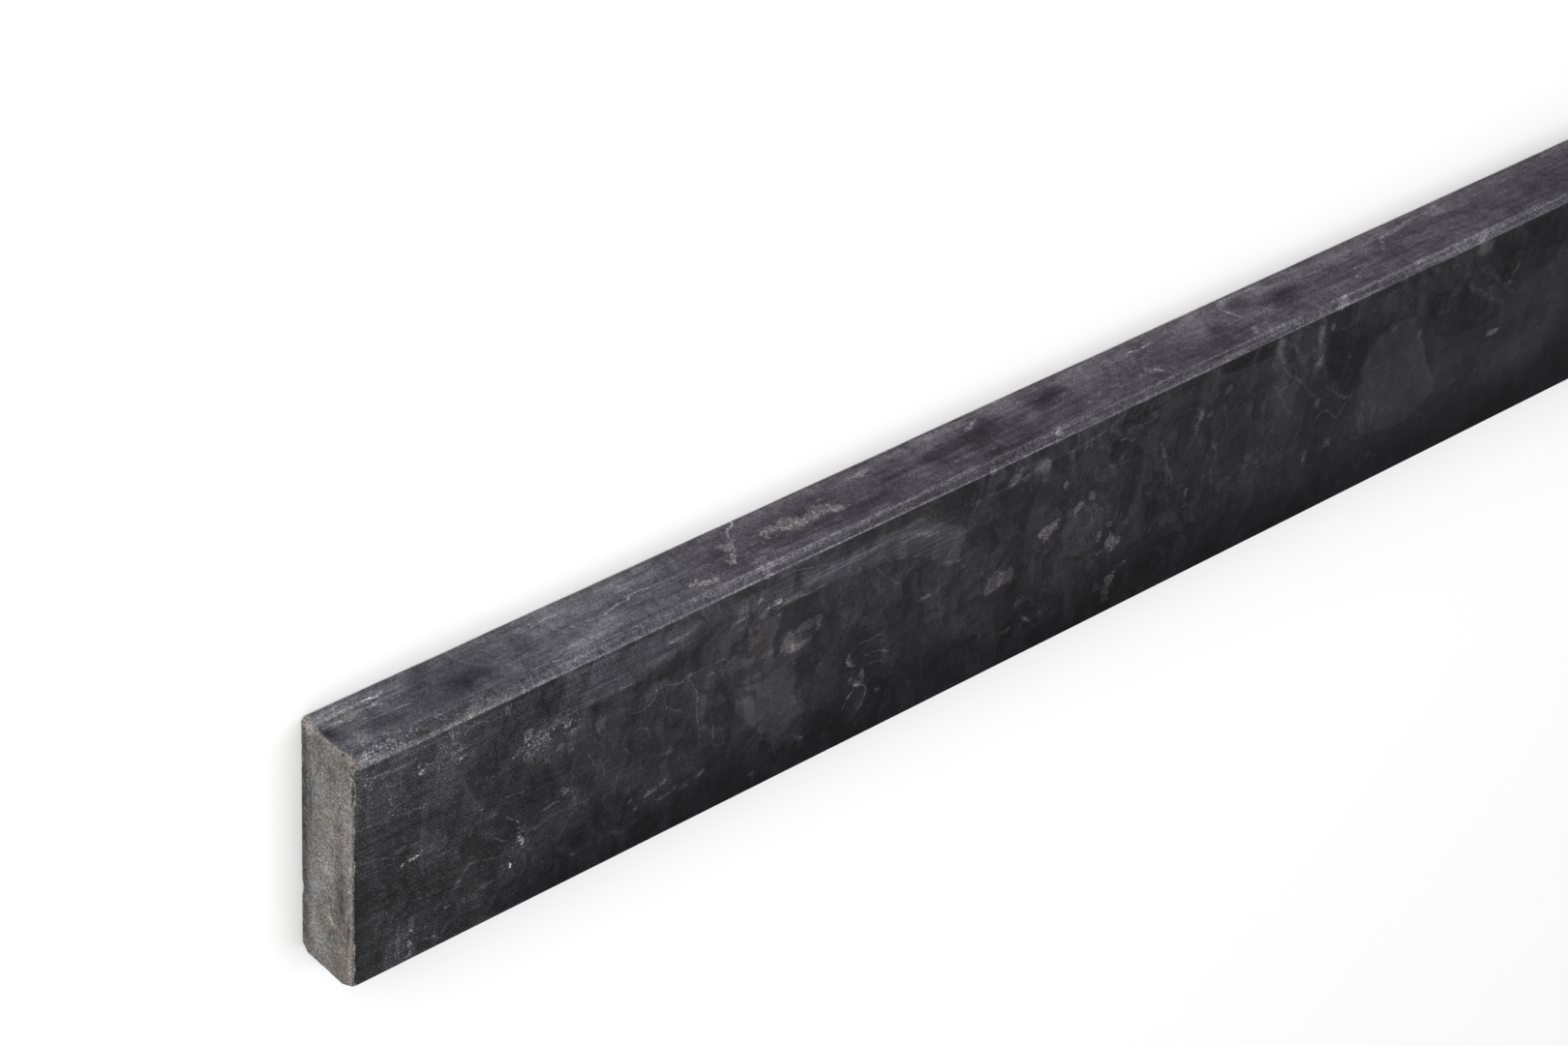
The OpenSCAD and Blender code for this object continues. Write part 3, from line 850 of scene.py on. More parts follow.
# %% [markdown]
# ### The worn end's own map
#
# The sawn end is freshly cut stone, paler and warmer than the weathered faces. Beside the tread
# lies a cream strip, then a line of dark pits where the saw cut into the worn edge. Here a place is
# (across, height), so the first number is along the end's long side.

# %% Clouds, blue and brown stains and pits of the worn end
on_end = first_x > END - 2.5


def end_clouds(features):
    """The same soft spots as on the tread, placed on the worn end by (across, height)."""
    return np.where(on_end, clouds(features, worn[:, 1], worn[:, 2]), 0)


end_light = [
    (44, 20, 5, 5, -0.15), (42, 4, 6, 3, -0.20), (38, 1.2, 8, 1.6, -0.25), (36, 8, 9, 5, 0.20),
    (33, 17, 5, 6, -0.15, 30), (26.5, 16.5, 1.2, 4.5, 0.35, -30), (25, 26, 6, 1.4, -0.35),
    (24, 20, 5, 5, -0.25, 30), (20, 2.0, 26, 1.6, -0.20), (18, 25.2, 6, 1.1, 0.35),
    (17, 22, 8, 3.2, -0.25), (14, 8, 8, 3, 0.15), (14, 21.5, 12, 2.6, -0.12),
    (12, 1.0, 18, 1.8, -0.25), (6, 22.5, 8, 3.0, -0.25), (5, 15, 8, 5, 0.20),
    (-2, 1.2, 7, 1.5, -0.30), (-12, 17.5, 2.5, 2.5, 0.35, 20), (-16, 4.8, 14, 0.9, -0.40),
    (-18, 1.2, 17, 1.6, -0.30), (-18, 24.9, 20, 0.8, 0.20), (-25, 2.2, 26, 2.2, -0.30),
    (-25, 12, 12, 5, 0.10), (-37, 17, 3.5, 3, -0.25), (-46, 9, 5, 4, -0.25), (-47, 27, 3, 4, -0.2),
    (-48, 4, 2.5, 5, 0.35),
]
end_blue = [
    (43, 21, 3, 5, 0.5), (35, 17, 6, 4, 0.5), (20, 5.5, 18, 2.2, 0.7), (18, 25.2, 7, 1.3, 1.0),
    (17, 25.0, 8, 1.0, 0.6), (14, 4.6, 14, 1.3, 0.8), (14, 20, 3, 3, 0.5), (0, 10, 12, 2, 0.4),
    (-15, 5.5, 22, 2.0, 0.8), (-18, 24.9, 22, 1.0, 0.9), (-22, 4.2, 16, 1.3, 0.9),
    (-26, 11, 8, 3, 0.5), (-37, 17, 5, 4, 0.7),
]
end_brown = [
    (30, 26.5, 14, 2.4, 0.6), (22, 1.2, 24, 1.4, 0.7), (16, 22, 10, 3.5, 0.6), (-5, 21, 10, 3, 0.3),
    (-20, 20, 14, 4, 0.3), (-30, 1.6, 18, 1.6, 0.8),
]
end_pits = [
    (40.0, 28.6, 1.2, 0.6, 0.4), (33.5, 28.4, 1.0, 0.7, 0.5), (27.5, 28.7, 1.2, 0.7, 0.6),
    (19.5, 28.6, 1.2, 0.6, 0.5), (14.0, 28.7, 1.0, 0.7, 0.7), (9.5, 28.8, 1.0, 0.8, 0.8),
    (7.6, 27.4, 1.0, 0.9, 0.7), (5.8, 28.6, 1.2, 0.7, 0.9), (2.6, 28.4, 1.4, 0.8, 0.9),
    (-1.0, 28.6, 1.2, 0.6, 0.7), (-9.5, 28.7, 1.0, 0.6, 0.6), (-18.5, 28.6, 0.9, 0.6, 0.6),
    (-31.4, 27.8, 1.3, 1.1, 1.2), (-34.0, 28.4, 1.6, 0.8, 1.0), (-37.2, 28.5, 1.6, 0.9, 1.1),
    (-40.0, 28.4, 1.4, 0.8, 1.0), (-44.0, 28.2, 1.6, 0.7, 1.0), (-48.6, 24.0, 1.2, 1.0, 1.2),
    (-48.8, 21.6, 1.0, 0.9, 1.0),
]

# %% Where the pale break wraps over the worn end's edges, and where the old flakes stay dark
pale_wrap = on_side([
    (499.6, 19.5, 0.9, 2.4, 0.6), (499.5, 7, 1.2, 4.0, 0.9), (499.2, 25, 2.2, 3.0, 0.9),
    (499, 1.5, 3.5, 4.0, 1.2), (496, 28, 4.0, 1.6, 0.7),
])
dark_flakes = on_side([
    (498.5, 10, 1.4, 3, 0.7), (496.5, 13.5, 3.0, 3.2, 1.0), (495.5, 18.5, 3.4, 3.2, 1.0, 20),
    (494, 22.5, 3.0, 1.6, 0.6), (489, 15.5, 5, 1.6, 0.4),
])

# %% [markdown]
# ### Veins
#
# A healed crack is a thin pale line. Painted along the mesh's edges it would be as wide as a face,
# so each point keeps its distance to the nearest line instead. Each row is a strength, a half
# width and the line's corners.

# %% Veins of the tread
tread_veins = [
    (0.55, 0.35, (454.5, 20), (452, 17.5), (447, 16.5), (442, 18), (438, 19.5)),
    (0.5, 0.4, (454, 19), (455, 22), (457, 24)),
    (0.8, 0.35, (440, 11), (436.5, 14)),
    (0.8, 0.4, (435, 3.5), (431.5, 8)),
    (0.8, 0.3, (420, 9), (415, 8)),
    (0.35, 0.8, (427, 15), (420, 13.5), (410, 14), (402, 13)),
    (0.5, 0.3, (436, -5), (432, -4.3), (426, -4.5)),
    (0.9, 0.35, (478.2, 45), (478.6, 37), (478.2, 30)),
    (0.5, 0.5, (483.8, 43), (482.5, 31)),
    (0.6, 0.35, (476.6, 43), (476.8, 36), (476.2, 29)),
    (0.4, 0.5, (480.4, 45), (480.2, 34)),
    (0.6, 0.5, (470, 40), (467, 41), (463, 44)),
    (0.45, 0.4, (493, -40.6), (488, -40.3), (474, -40.4)),
    (0.4, 0.35, (472, -43.6), (460, -42.8), (446, -43.3)),
    (0.5, 0.5, (486.5, -31), (486, -27), (484, -23)),
    (0.5, 0.5, (485.5, -22.4), (480, -26), (476, -26.5)),
    (0.35, 0.6, (490, -18.5), (480, -19.8), (471, -18.8)),
    (0.4, 0.5, (500, -20), (496, -20.3), (492, -19.8)),
    (0.45, 0.35, (500, -5.3), (490, -5.3), (480, -2)),
    (0.7, 0.4, (382, -15), (378, -13), (374.5, -13.5), (372.5, -16), (372.5, -21)),
    (0.6, 0.32, (368, -20), (364, -19), (360, -17.5), (358, -20), (352, -19.5), (344, -19.5)),
    (0.7, 0.24, (358, -19), (356, -14), (353.5, -7), (352, 0), (351, 14)),
    (0.4, 0.4, (347, -12), (346.5, -2), (345.5, 8), (345, 16)),
    (0.55, 0.4, (350, -14.5), (346.5, -15.3), (344, -14.5), (343.5, -12)),
    (0.5, 0.4, (341, -17), (341.5, -19), (343, -20)),
    (0.5, 0.4, (367.5, -14), (367, -10), (364, -6.8), (362, -6)),
    (0.6, 0.4, (378, -5.5), (375, -4.5), (374.3, -1)),
    (0.4, 0.5, (396, -1), (394.5, 1), (394, 6)),
    (0.4, 0.5, (401, -5), (398.5, 0), (396.5, 5)),
    (0.35, 0.5, (385, -6), (386, -2), (383, 3)),
    (0.4, 0.6, (388, 35.5), (385, 37.5), (380, 37.5), (376, 33.5)),
    (0.45, 0.4, (346, 16), (343, 19), (340, 17), (341, 14)),
    (0.5, 0.5, (333, 27), (327, 22.5), (325, 21)),
    (0.5, 0.6, (323, 25), (318, 29.5), (315, 34), (315, 37)),
    (0.35, 0.5, (303, 25), (306, 28), (311, 31)),
    (0.6, 0.6, (306, 31), (302.5, 34), (299.5, 32)),
    (1.3, 0.6, (281, 7), (282.5, 9.5), (281, 12), (279, 12.5)),
    (1.3, 0.4, (277, 22.5), (273.5, 24), (273.3, 28), (273.8, 32.5)),
    (1.5, 0.35, (279.5, 25), (281, 27), (283, 30.5)),
    (0.4, 0.4, (276, 34), (277, 38), (275, 42)),
    (0.8, 0.35, (276, 2.5), (271, 3), (266.5, 3.2)),
    (0.45, 0.35, (268, 6), (264, 8), (262, 9.5)),
    (0.9, 0.35, (272, 10.5), (267, 10), (262, 12.5)),
    (0.9, 0.35, (273, 15.5), (268, 14.8), (263, 16.5)),
    (0.35, 0.35, (271, 21), (265, 22), (261, 24.5)),
    (0.45, 0.5, (271, -27), (267, -23), (262, -18), (258.5, -14), (257.5, -9)),
    (0.7, 0.45, (248, -5), (245, -3.8), (242, -3.2)),
    (0.55, 0.6, (240, -16.5), (235, -15.5), (230, -13.5)),
    (0.35, 0.4, (250, -9.5), (244, -6.5), (238, -3), (230, 1)),
    (0.35, 0.4, (239, -12), (238, -2), (238, 8), (236, 18)),
    (0.45, 0.4, (236, -45), (233, -41), (229, -37.5), (225, -34.5)),
    (0.9, 0.35, (229.5, -36.8), (225.5, -34.8)),
    (0.5, 0.6, (318, -31), (313, -32.5), (305, -31.8), (297, -32.3)),
    (0.5, 0.35, (318, -44.5), (305, -43.5), (296, -41.5)),
    (0.8, 0.45, (226, -36), (218, -36.8), (210, -37.3), (201, -38), (194, -38.4)),
    (0.8, 0.5, (188, -38.8), (180, -39), (170, -40.5), (160, -42.5), (150, -44.8)),
    (0.45, 0.5, (196, 20), (193, 23), (190, 26)),
    (0.9, 0.5, (195.3, 30), (192, 32.5), (188.8, 35.8)),
    (0.5, 0.4, (190, -3), (187, 1), (184.5, 4.5)),
    (0.7, 0.55, (148, 31), (144, 27.5), (141, 26), (139.8, 28.5)),
    (0.6, 0.5, (159, -30), (157, -26), (153, -23), (148, -22.3), (143, -21)),
    (0.7, 0.5, (151, -34), (147, -33)),
    (0.35, 0.5, (142, -19), (144, -10), (149, 0), (150, 6)),
    (0.35, 0.5, (176, -32), (176, -20), (175, -12)),
    (0.35, 0.5, (160, -8), (158, 3)),
    (0.4, 0.4, (190, -8), (184, -2), (181, 8)),
    (0.7, 0.45, (140, -37.2), (134, -36.5)),
    (0.5, 0.4, (105, -45), (102, -42.5), (98, -40.5), (92, -39.5), (80, -38.8), (70, -38.8)),
    (0.5, 0.5, (117, -32.5), (111, -32), (108, -30), (110, -25), (111, -20), (113, -14)),
    (0.85, 1.1, (130, -24), (128.5, -20), (127, -16)),
    (0.7, 1.1, (126, -15), (125, -9), (122.5, -5), (120.5, -1), (118, 1)),
    (0.4, 0.5, (97, -29), (94.5, -23), (94.5, -16), (96, -10)),
    (0.65, 0.5, (101, -12), (99.5, -8), (98, -5), (97, -2)),
    (0.4, 0.6, (100, 0), (99, 6), (97, 12), (99, 20)),
    (0.4, 0.5, (136, -4), (134, 0), (131.5, 5), (131, 11)),
    (0.45, 0.5, (133, -4), (130.5, -3.5), (130, 0)),
    (0.4, 0.5, (142, -2), (141, 5), (139, 12)),
    (0.7, 2.0, (70, -46), (68.5, -40), (66, -35)),
    (0.75, 0.8, (66, -32), (62, -27), (57, -24.5), (53, -22), (50, -20)),
    (0.7, 1.0, (66, -44), (60, -40), (57.5, -36), (55, -33), (51, -32)),
    (0.6, 0.9, (60, -39), (57, -34), (52, -29), (49.5, -24)),
    (0.4, 0.7, (70, -25), (64, -18), (58, -10), (54, -3)),
    (0.4, 2.2, (46, -42), (44.5, -36), (43.5, -30), (43, -24)),
    (0.6, 0.5, (50, -19), (46.5, -14), (43.5, -9)),
    (0.45, 0.5, (41, -20), (37, -16), (33, -12)),
    (0.7, 0.5, (38, -11), (32, -7), (25, -3)),
    (0.85, 0.6, (41.5, 2.5), (38, 0.3), (35, 0), (32, 2), (30, 4.5), (28, 6)),
    (0.75, 0.6, (27.5, 5.5), (26, 2), (23, 0), (21, -2)),
    (0.6, 0.8, (43.5, 12), (44, 16), (45.5, 20)),
    (0.5, 0.9, (34, 14), (31, 17.5)),
    (0.3, 1.9, (-11, -30), (-13, -22), (-15, -15), (-18, -5), (-22, 3), (-27, 10)),
    (0.55, 0.6, (-20, -34), (-24, -31), (-31, -31)),
    (0.6, 0.6, (-22, -21.5), (-27, -20.5), (-32, -23)),
    (0.5, 0.6, (37, -40), (32, -37.5), (24, -37)),
    (0.45, 0.9, (-40, -30), (-50, -21), (-62, -12)),
    (0.4, 0.7, (-46, -34), (-58, -24), (-68, -14)),
    (0.8, 1.0, (-71, -28), (-68, -23), (-66, -20)),
    (0.35, 0.9, (-62, -12), (-64, -5)),
    (0.35, 0.8, (22, 12), (24, 20), (28, 26)),
    (0.3, 0.8, (-10, 18), (-24, 26), (-26, 30)),
    (0.35, 0.8, (-28, 34), (-40, 38), (-52, 43)),
]

# %% Veins of the narrow side: heights in place of distances across
side_veins = chains_on_side([
    (0.8, 0.4, (480, 5.2), (474, 5.6)),
    (0.6, 0.4, (481, 8.6), (475, 8.9)),
    (0.6, 0.35, (474, 3.3), (471.5, 3.5)),
    (1.0, 0.4, (471, 14.5), (466, 14.7)),
    (0.5, 0.3, (481, 14.2), (472, 14.4)),
    (0.5, 0.4, (497, 10), (488, 10.5)),
    (0.8, 0.35, (391, 14.7), (385, 15), (374, 14.9)),
    (0.7, 0.35, (375, 13.3), (370, 13.2), (366.5, 12.6)),
    (0.5, 0.35, (364, 12.8), (352, 13.4)),
    (0.7, 0.3, (372, 7), (366, 7)),
    (0.5, 0.3, (412, 6.8), (398, 6.9)),
    (0.5, 0.3, (421, 16.7), (416, 16.9)),
    (0.7, 0.35, (421, 25.2), (413, 25.8)),
    (0.9, 0.6, (322, 8), (321.5, 5), (319, 3), (316, 1.8), (315, 0.4)),
    (0.6, 0.6, (327, 15.5), (324, 13.5)),
    (0.9, 0.9, (212, 7.6), (209, 6.8), (205.5, 5.4)),
    (0.5, 0.7, (185.5, 29.8), (182.5, 27.6), (180.5, 25.5)),
    (1.2, 0.5, (128, 7), (122, 7.2), (115, 7.3)),
    (0.8, 0.9, (131, 18.5), (127, 21.5), (124, 25)),
    (0.9, 0.8, (73, 1), (75.8, 3.5), (76.5, 7), (75.8, 10), (75, 13.5)),
    (0.5, 0.6, (74.5, 3.5), (70, 2.4), (62, 2.6), (54, 4)),
    (0.5, 0.8, (60, 14.5), (66, 18), (74, 23)),
    (0.5, 0.5, (50, 7.5), (40, 8), (22, 8)),
    (0.9, 1.1, (-4, 12.5), (-7, 9.5), (-8, 8.3)),
    (0.9, 1.3, (-8, 8), (-16, 7), (-24, 4.5), (-30, 3)),
    (0.4, 0.6, (-18, 13), (-30, 13.5)),
    (0.4, 0.6, (-64, 13), (-76, 13.5)),
])

# %% [markdown]
# ### Patches
#
# Shell and calcite make small pale patches with ragged outlines. Each row is a place, a half
# length, a half width, a strength in stops and, where the patch is turned, a turn in degrees.

# %% Patches of the tread
tread_patches = [
    (482, -5, 3, 1.0, 0.8, 15), (481, 1.4, 0.9, 0.8, 1.8), (478.4, 39.5, 1.0, 2.6, 1.1),
    (477.3, 1.6, 2.0, 0.9, 2.2), (472, -37, 1.0, 1.8, 1.3), (471.5, -33.5, 1.9, 1.2, 1.8),
    (465.5, -39, 2.2, 3.5, 0.2), (463, -34, 7, 3.5, 0.2), (461.8, 31, 1.8, 0.9, 1.8, -8),
    (457.3, -31.7, 1.6, 0.9, 1.6, 10), (456.5, 23.7, 2.2, 1.4, 0.7, 30),
    (455.3, 30.6, 1.4, 0.9, 1.5), (443.5, 29.8, 3.4, 1.2, 1.1, 8), (441, -0.4, 3.0, 1.4, 0.9),
    (437.5, -41.5, 1.6, 2.4, 1.1), (433.7, 26, 1.1, 1.6, 2.2, -20), (432, -21.5, 3.4, 1.6, 0.9, 20),
    (431.6, 11, 1.0, 1.3, 1.2), (431, 15.5, 1.1, 1.8, 1.5), (429, -27, 2.2, 2.4, 1.2),
    (429, 18.2, 0.9, 2.4, 2.4), (427, -16, 2.0, 2.2, 0.6), (425, -22, 6, 2, 0.6, 10),
    (425, 23, 1.6, 1.6, 0.7), (425, 39, 2.0, 1.0, 0.6), (424, -25, 5, 1.2, 0.8),
    (423.5, 14.5, 2.2, 1.2, 0.8, -20), (419, -12.5, 1.6, 1.5, 0.9), (418, 8.5, 3.4, 0.9, 0.8),
    (415, -26.5, 4, 1.8, 1.0, 15), (413, -16, 2.2, 1.8, 0.8, 20), (412, 5, 1.4, 2.0, 0.8),
    (411, -23.5, 2.4, 1.2, 1.1), (408, -19.5, 2.2, 1.6, 0.7), (408, -12, 2.0, 0.8, 0.7),
    (407.2, -28.3, 2.6, 0.8, 1.4), (407, 36.3, 1.2, 1.3, 0.8), (403, 14.5, 2.6, 1.2, 0.6),
    (397, -17, 2.4, 2.2, 0.7), (387, -28, 4.5, 1.0, 0.7), (382, 24.6, 2.2, 1.2, 1.3),
    (377.8, 29, 1.6, 1.2, 1.1), (374.5, 33.8, 1.6, 0.9, 0.8, 20), (371, 25.2, 3.0, 1.2, 1.2, 25),
    (367, 23.4, 2.4, 1.1, 1.3, 10), (366, -33.5, 8, 0.7, 0.5), (366, 29.6, 4.2, 0.8, 1.0),
    (365.5, 11.3, 3.4, 1.5, 0.7), (365, -39, 4.5, 0.9, 0.6, -3), (365, 9, 1.8, 1.2, 0.7),
    (360.5, 27.7, 1.4, 1.0, 1.2), (358, -39.5, 3.0, 0.9, 0.6), (357, 29.8, 2.0, 1.0, 0.9),
    (349.8, 27.8, 2.2, 1.7, 1.6), (344, -3, 3.0, 3.0, 0.6), (344, 11.5, 2.6, 2.6, 0.5),
    (335.3, 40, 0.9, 2.6, 1.0), (334, -34, 3.4, 0.7, 1.1), (331, -4.8, 2.4, 1.0, 0.6),
    (327, -38.6, 2.0, 1.6, 1.2), (326, -41.5, 1.6, 1.4, 0.8), (326, -31, 1.8, 2.6, 0.9),
    (326, -5, 2.4, 0.9, 0.4), (326, 40.3, 3.0, 0.9, 1.1, -12), (322, -12.5, 3.6, 2.0, 0.5, 15),
    (320, -34.6, 4.6, 1.6, 1.1, -8), (318, -27.6, 1.6, 1.0, 1.1), (311, -32.8, 6.5, 2.2, 0.6),
    (311, -14.5, 4.6, 4.2, 1.0, 30), (307, -10, 5.0, 2.2, 1.05), (306, -12, 3.0, 2.4, 0.3),
    (303, -17, 5.2, 2.4, 1.0), (302.7, 34, 2.0, 1.4, 0.6), (299.3, -15.5, 1.4, 3.0, 1.1),
    (280.8, 10.5, 1.6, 2.6, 0.7, 15), (279.7, 19, 1.2, 1.4, 0.8), (277.4, 22, 2.2, 1.4, 1.1, 10),
    (277, -36.5, 7, 1.1, 0.3, 3), (274.5, 19, 1.6, 3.0, 1.5), (268.6, 27, 1.0, 1.2, 0.9),
    (266.3, 29, 1.8, 1.3, 1.7), (263.6, 24, 0.9, 2.4, 1.0), (262, -37.5, 8, 1.3, 0.35, -6),
    (262, 33, 1.2, 1.8, 0.7, 20), (259, 23, 1.1, 1.2, 0.8), (251, -34, 5, 1.6, 0.45, -25),
    (245, -3.8, 3.2, 1.1, 0.9, 10), (219, -1.6, 1.8, 0.7, 1.3), (213, 8, 4.2, 2.4, 1.2),
    (208.5, 5.4, 7.0, 3.6, 1.35, -8), (208, 7, 1.3, 1.0, 2.2), (207, -39.4, 3.4, 2.4, 1.2),
    (203.5, 6, 2.6, 4.4, 1.1), (203, 32.5, 2.8, 1.6, 1.4), (202.5, -42.2, 2.0, 1.4, 1.0),
    (201, -37.5, 2.4, 2.0, 0.8), (198, 22, 3.2, 1.5, 0.9), (193.5, 31.2, 2.4, 0.9, 1.3, -40),
    (191.5, -31.5, 2.2, 2.0, 0.5), (191, -37.5, 4.2, 3.4, 0.5), (190.5, 26, 1.6, 2.0, 0.7),
    (187.5, -7.5, 2.6, 3.4, 1.6, 10), (185.5, 31.5, 1.8, 2.4, 1.1), (185, -4.5, 1.8, 2.4, 1.5),
    (183.5, -7, 4.0, 3.4, 1.6, -20), (180.5, -10.5, 2.0, 1.0, 1.0, -20),
    (178.6, -25, 1.5, 2.8, 1.7, 18), (176.8, -37.5, 1.2, 3.0, 0.9, 20),
    (171.5, -10.6, 1.7, 2.6, 1.6, -15), (164.8, -14, 2.4, 2.6, 1.4), (163.5, -26, 1.6, 1.4, 0.6),
    (158.4, 8.2, 1.6, 2.6, 1.5, -10), (157, 16.5, 1.8, 0.9, 1.3), (156.5, 33, 2.4, 2.6, 1.2),
    (152.5, 4.5, 2.4, 1.7, 1.4, -20), (152, 13.5, 2.8, 4.2, 1.55, -10),
    (150.8, 36.5, 2.6, 3.2, 1.7), (150.5, 40.3, 2.0, 2.0, 1.6), (150, -25.5, 2.2, 1.6, 0.7),
    (149.5, -33.5, 1.8, 0.9, 1.2), (149.5, 16, 3.2, 1.6, 1.2, 40), (148.7, 32, 3.8, 3.0, 1.9, 40),
    (145.5, -31.5, 1.6, 1.0, 1.0), (144.5, 7, 1.6, 2.2, 0.7), (141.5, 27.5, 1.2, 1.6, 1.0, -30),
    (127.5, -18.5, 1.8, 4.0, 0.5, 15), (120, 0.5, 2.4, 0.8, 0.8), (112.5, 13, 2.4, 1.2, 0.9),
    (112.2, 6.5, 1.2, 2.8, 1.6), (110.5, -23, 1.8, 2.4, 0.8), (109.5, -6.8, 1.0, 1.2, 0.9),
    (108.5, -28.5, 1.8, 3.0, 0.8), (104, -26.5, 2.4, 1.2, 0.9), (99.8, -8.5, 1.0, 2.4, 0.9, 10),
    (95, -34, 3.0, 1.8, 1.1), (83, -19.5, 2.2, 4.0, 0.5), (81, 8.5, 1.6, 2.2, 0.5),
    (78.5, 4.5, 1.6, 3.0, 0.5, 30), (68.8, -43, 2.4, 4.0, 0.6), (45, -39, 2.2, 4.5, 0.5),
    (45, 18, 1.8, 3.6, 0.7), (44, -26.5, 2.6, 2.2, 0.7), (42, -5.2, 2.0, 2.8, 1.2),
    (38.8, -41.3, 1.5, 2.2, 1.4), (32.2, 15.7, 3.2, 1.8, 0.8, 45), (27.6, -21.5, 1.8, 0.9, 1.2),
    (24.5, -2.8, 1.4, 0.9, 1.2, 20), (23, 33.5, 1.8, 1.2, 0.5), (14.5, 4.8, 2.0, 1.6, 0.4),
    (6, 33.5, 1.8, 1.6, 1.0), (1, 35.5, 1.2, 0.9, 0.6), (-14.8, -15.5, 1.5, 2.6, 0.7),
    (-38, 17.5, 3.2, 1.1, 0.5), (-46, -44.5, 6.0, 4.0, 0.6), (-53, 17.5, 2.0, 1.0, 0.7),
    (-59.5, 0.5, 5.4, 1.9, 1.7), (-67, -20.3, 2.4, 1.2, 0.9), (-70, -27, 1.5, 1.8, 0.7),
]

# %% Patches of the narrow side
side_patches = on_side([
    (491, 25.6, 2.4, 1.2, 0.5), (480, 24.2, 2.2, 1.2, 0.6), (478, 8.8, 3.4, 0.8, 0.4),
    (477, 5.4, 3.2, 0.9, 0.6), (474, 24.6, 2.0, 1.0, 0.6), (470, 14.6, 3.6, 0.7, 0.8),
    (452, 28.5, 2.4, 1.2, 0.7), (388.3, 4, 0.8, 0.8, 1.1), (349, 21.2, 2.4, 1.2, 2.0),
    (346.8, 20, 1.0, 2.0, 1.9, 20), (345, 23.4, 2.8, 1.4, 2.1), (341.3, 22.6, 1.6, 1.0, 1.5, -20),
    (331.6, 18.8, 2.0, 2.0, 2.0, 60), (328.5, 9.3, 2.4, 0.9, 1.2), (327.8, 16.8, 1.5, 1.6, 2.0),
    (325.3, 11.2, 3.6, 2.4, 1.8, 20), (324, 23.6, 3.6, 1.4, 1.1), (324, 27.0, 3.2, 2.6, 0.8, 10),
    (321.5, 9.8, 1.6, 0.9, 1.3), (316, 17.2, 1.6, 0.9, 0.8, 60), (312.5, 14.8, 2.0, 1.2, 1.2, -40),
    (308.5, 12.4, 4.8, 2.2, 1.5, -8), (302.5, 13.6, 4.4, 3.2, 1.4, 20),
    (297.5, 16, 4.2, 2.8, 1.6, 10), (291.5, 15.4, 3.6, 2.8, 1.6), (286, 14.4, 4.6, 3.0, 1.5, -6),
    (280.8, 16.0, 3.4, 2.0, 1.6, 25), (277.6, 17.4, 1.8, 0.8, 1.2, 20), (259.6, 5.2, 3.2, 1.9, 1.4),
    (256, 4, 1.6, 0.8, 0.9), (227, 20, 1.4, 1.0, 1.2), (218, 29.2, 2.2, 1.6, 0.9),
    (209.5, 22, 1.5, 1.2, 1.2), (208, 6.2, 3.4, 1.4, 1.2, 15), (203, 28.6, 2.2, 1.0, 0.8),
    (182, 4.6, 1.4, 0.9, 0.9), (182, 28.2, 2.6, 1.6, 1.3, -40), (174.6, 20, 1.0, 1.1, 1.5),
    (170.3, 22, 0.9, 0.9, 1.2), (165, 12.5, 1.6, 1.5, 1.1), (161.8, 22, 1.4, 1.3, 1.7),
    (154.5, 19.4, 1.6, 1.2, 1.4), (146, 19, 2.2, 1.2, 0.6), (134.5, 20.3, 1.2, 1.2, 0.8),
    (127, 21.2, 2.2, 2.2, 0.9, -50), (123, 7.2, 5.0, 0.9, 0.7), (85.5, 10.4, 1.9, 0.8, 1.4, 5),
    (85, 13.6, 1.3, 0.9, 1.0), (78.6, 24.4, 1.5, 1.2, 1.2), (76.8, 22, 2.2, 1.3, 1.6),
    (34.6, 28.8, 4.0, 1.6, 1.3), (28, 8.3, 2.6, 1.1, 1.3), (18, 21, 1.8, 1.3, 1.4),
    (14, 18.6, 1.6, 0.9, 0.8, -20), (13, 15, 1.6, 1.2, 0.9), (9.5, 4.8, 4.0, 2.0, 0.9),
    (-40.5, 16, 1.8, 0.9, 0.9), (-42.5, 3, 2.8, 1.4, 1.3),
])

# %% [markdown]
# ### The stretches farther off
#
# The far end of the tread and the other narrow side carry the same kinds of marks, scattered by a
# seeded dice, so that the stone is one all round.

# %% Scattered marks
def scattered(count, along, across, sizes, strengths):
    """Rows of spots at random places, with half widths from 0.35 to 0.9 of the half lengths."""
    rows = []
    for _ in range(count):
        half = dice.uniform(*sizes)
        turn = dice.uniform(-30, 30)
        place = (dice.uniform(*along), dice.uniform(*across))
        rows.append((*place, half, half * dice.uniform(0.35, 0.9), dice.uniform(*strengths), turn))
    return rows


dice = np.random.default_rng(19)
far_tread = ((-END, -125), (-SIDE, SIDE))
far_side = ((-END, -110), (BED_SEAM, -SIDE))
other_side = ((-END, END), (SIDE, -BED_SEAM))
for stretch, share in ((far_tread, 1.0), (far_side, 0.35), (other_side, 0.8)):
    tread_clouds += scattered(int(90 * share), *stretch, (5, 22), (-0.5, 0.5))
    blue_clouds += scattered(int(50 * share), *stretch, (5, 18), (0.5, 0.9))
    tread_patches += scattered(int(80 * share), *stretch, (1.2, 4.5), (0.5, 1.5))
    fleck_clouds += scattered(int(16 * share), *stretch, (4, 12), (0.4, 0.8))
print(len(tread_clouds), "clouds and", len(tread_patches), "patches, with the scattered ones")
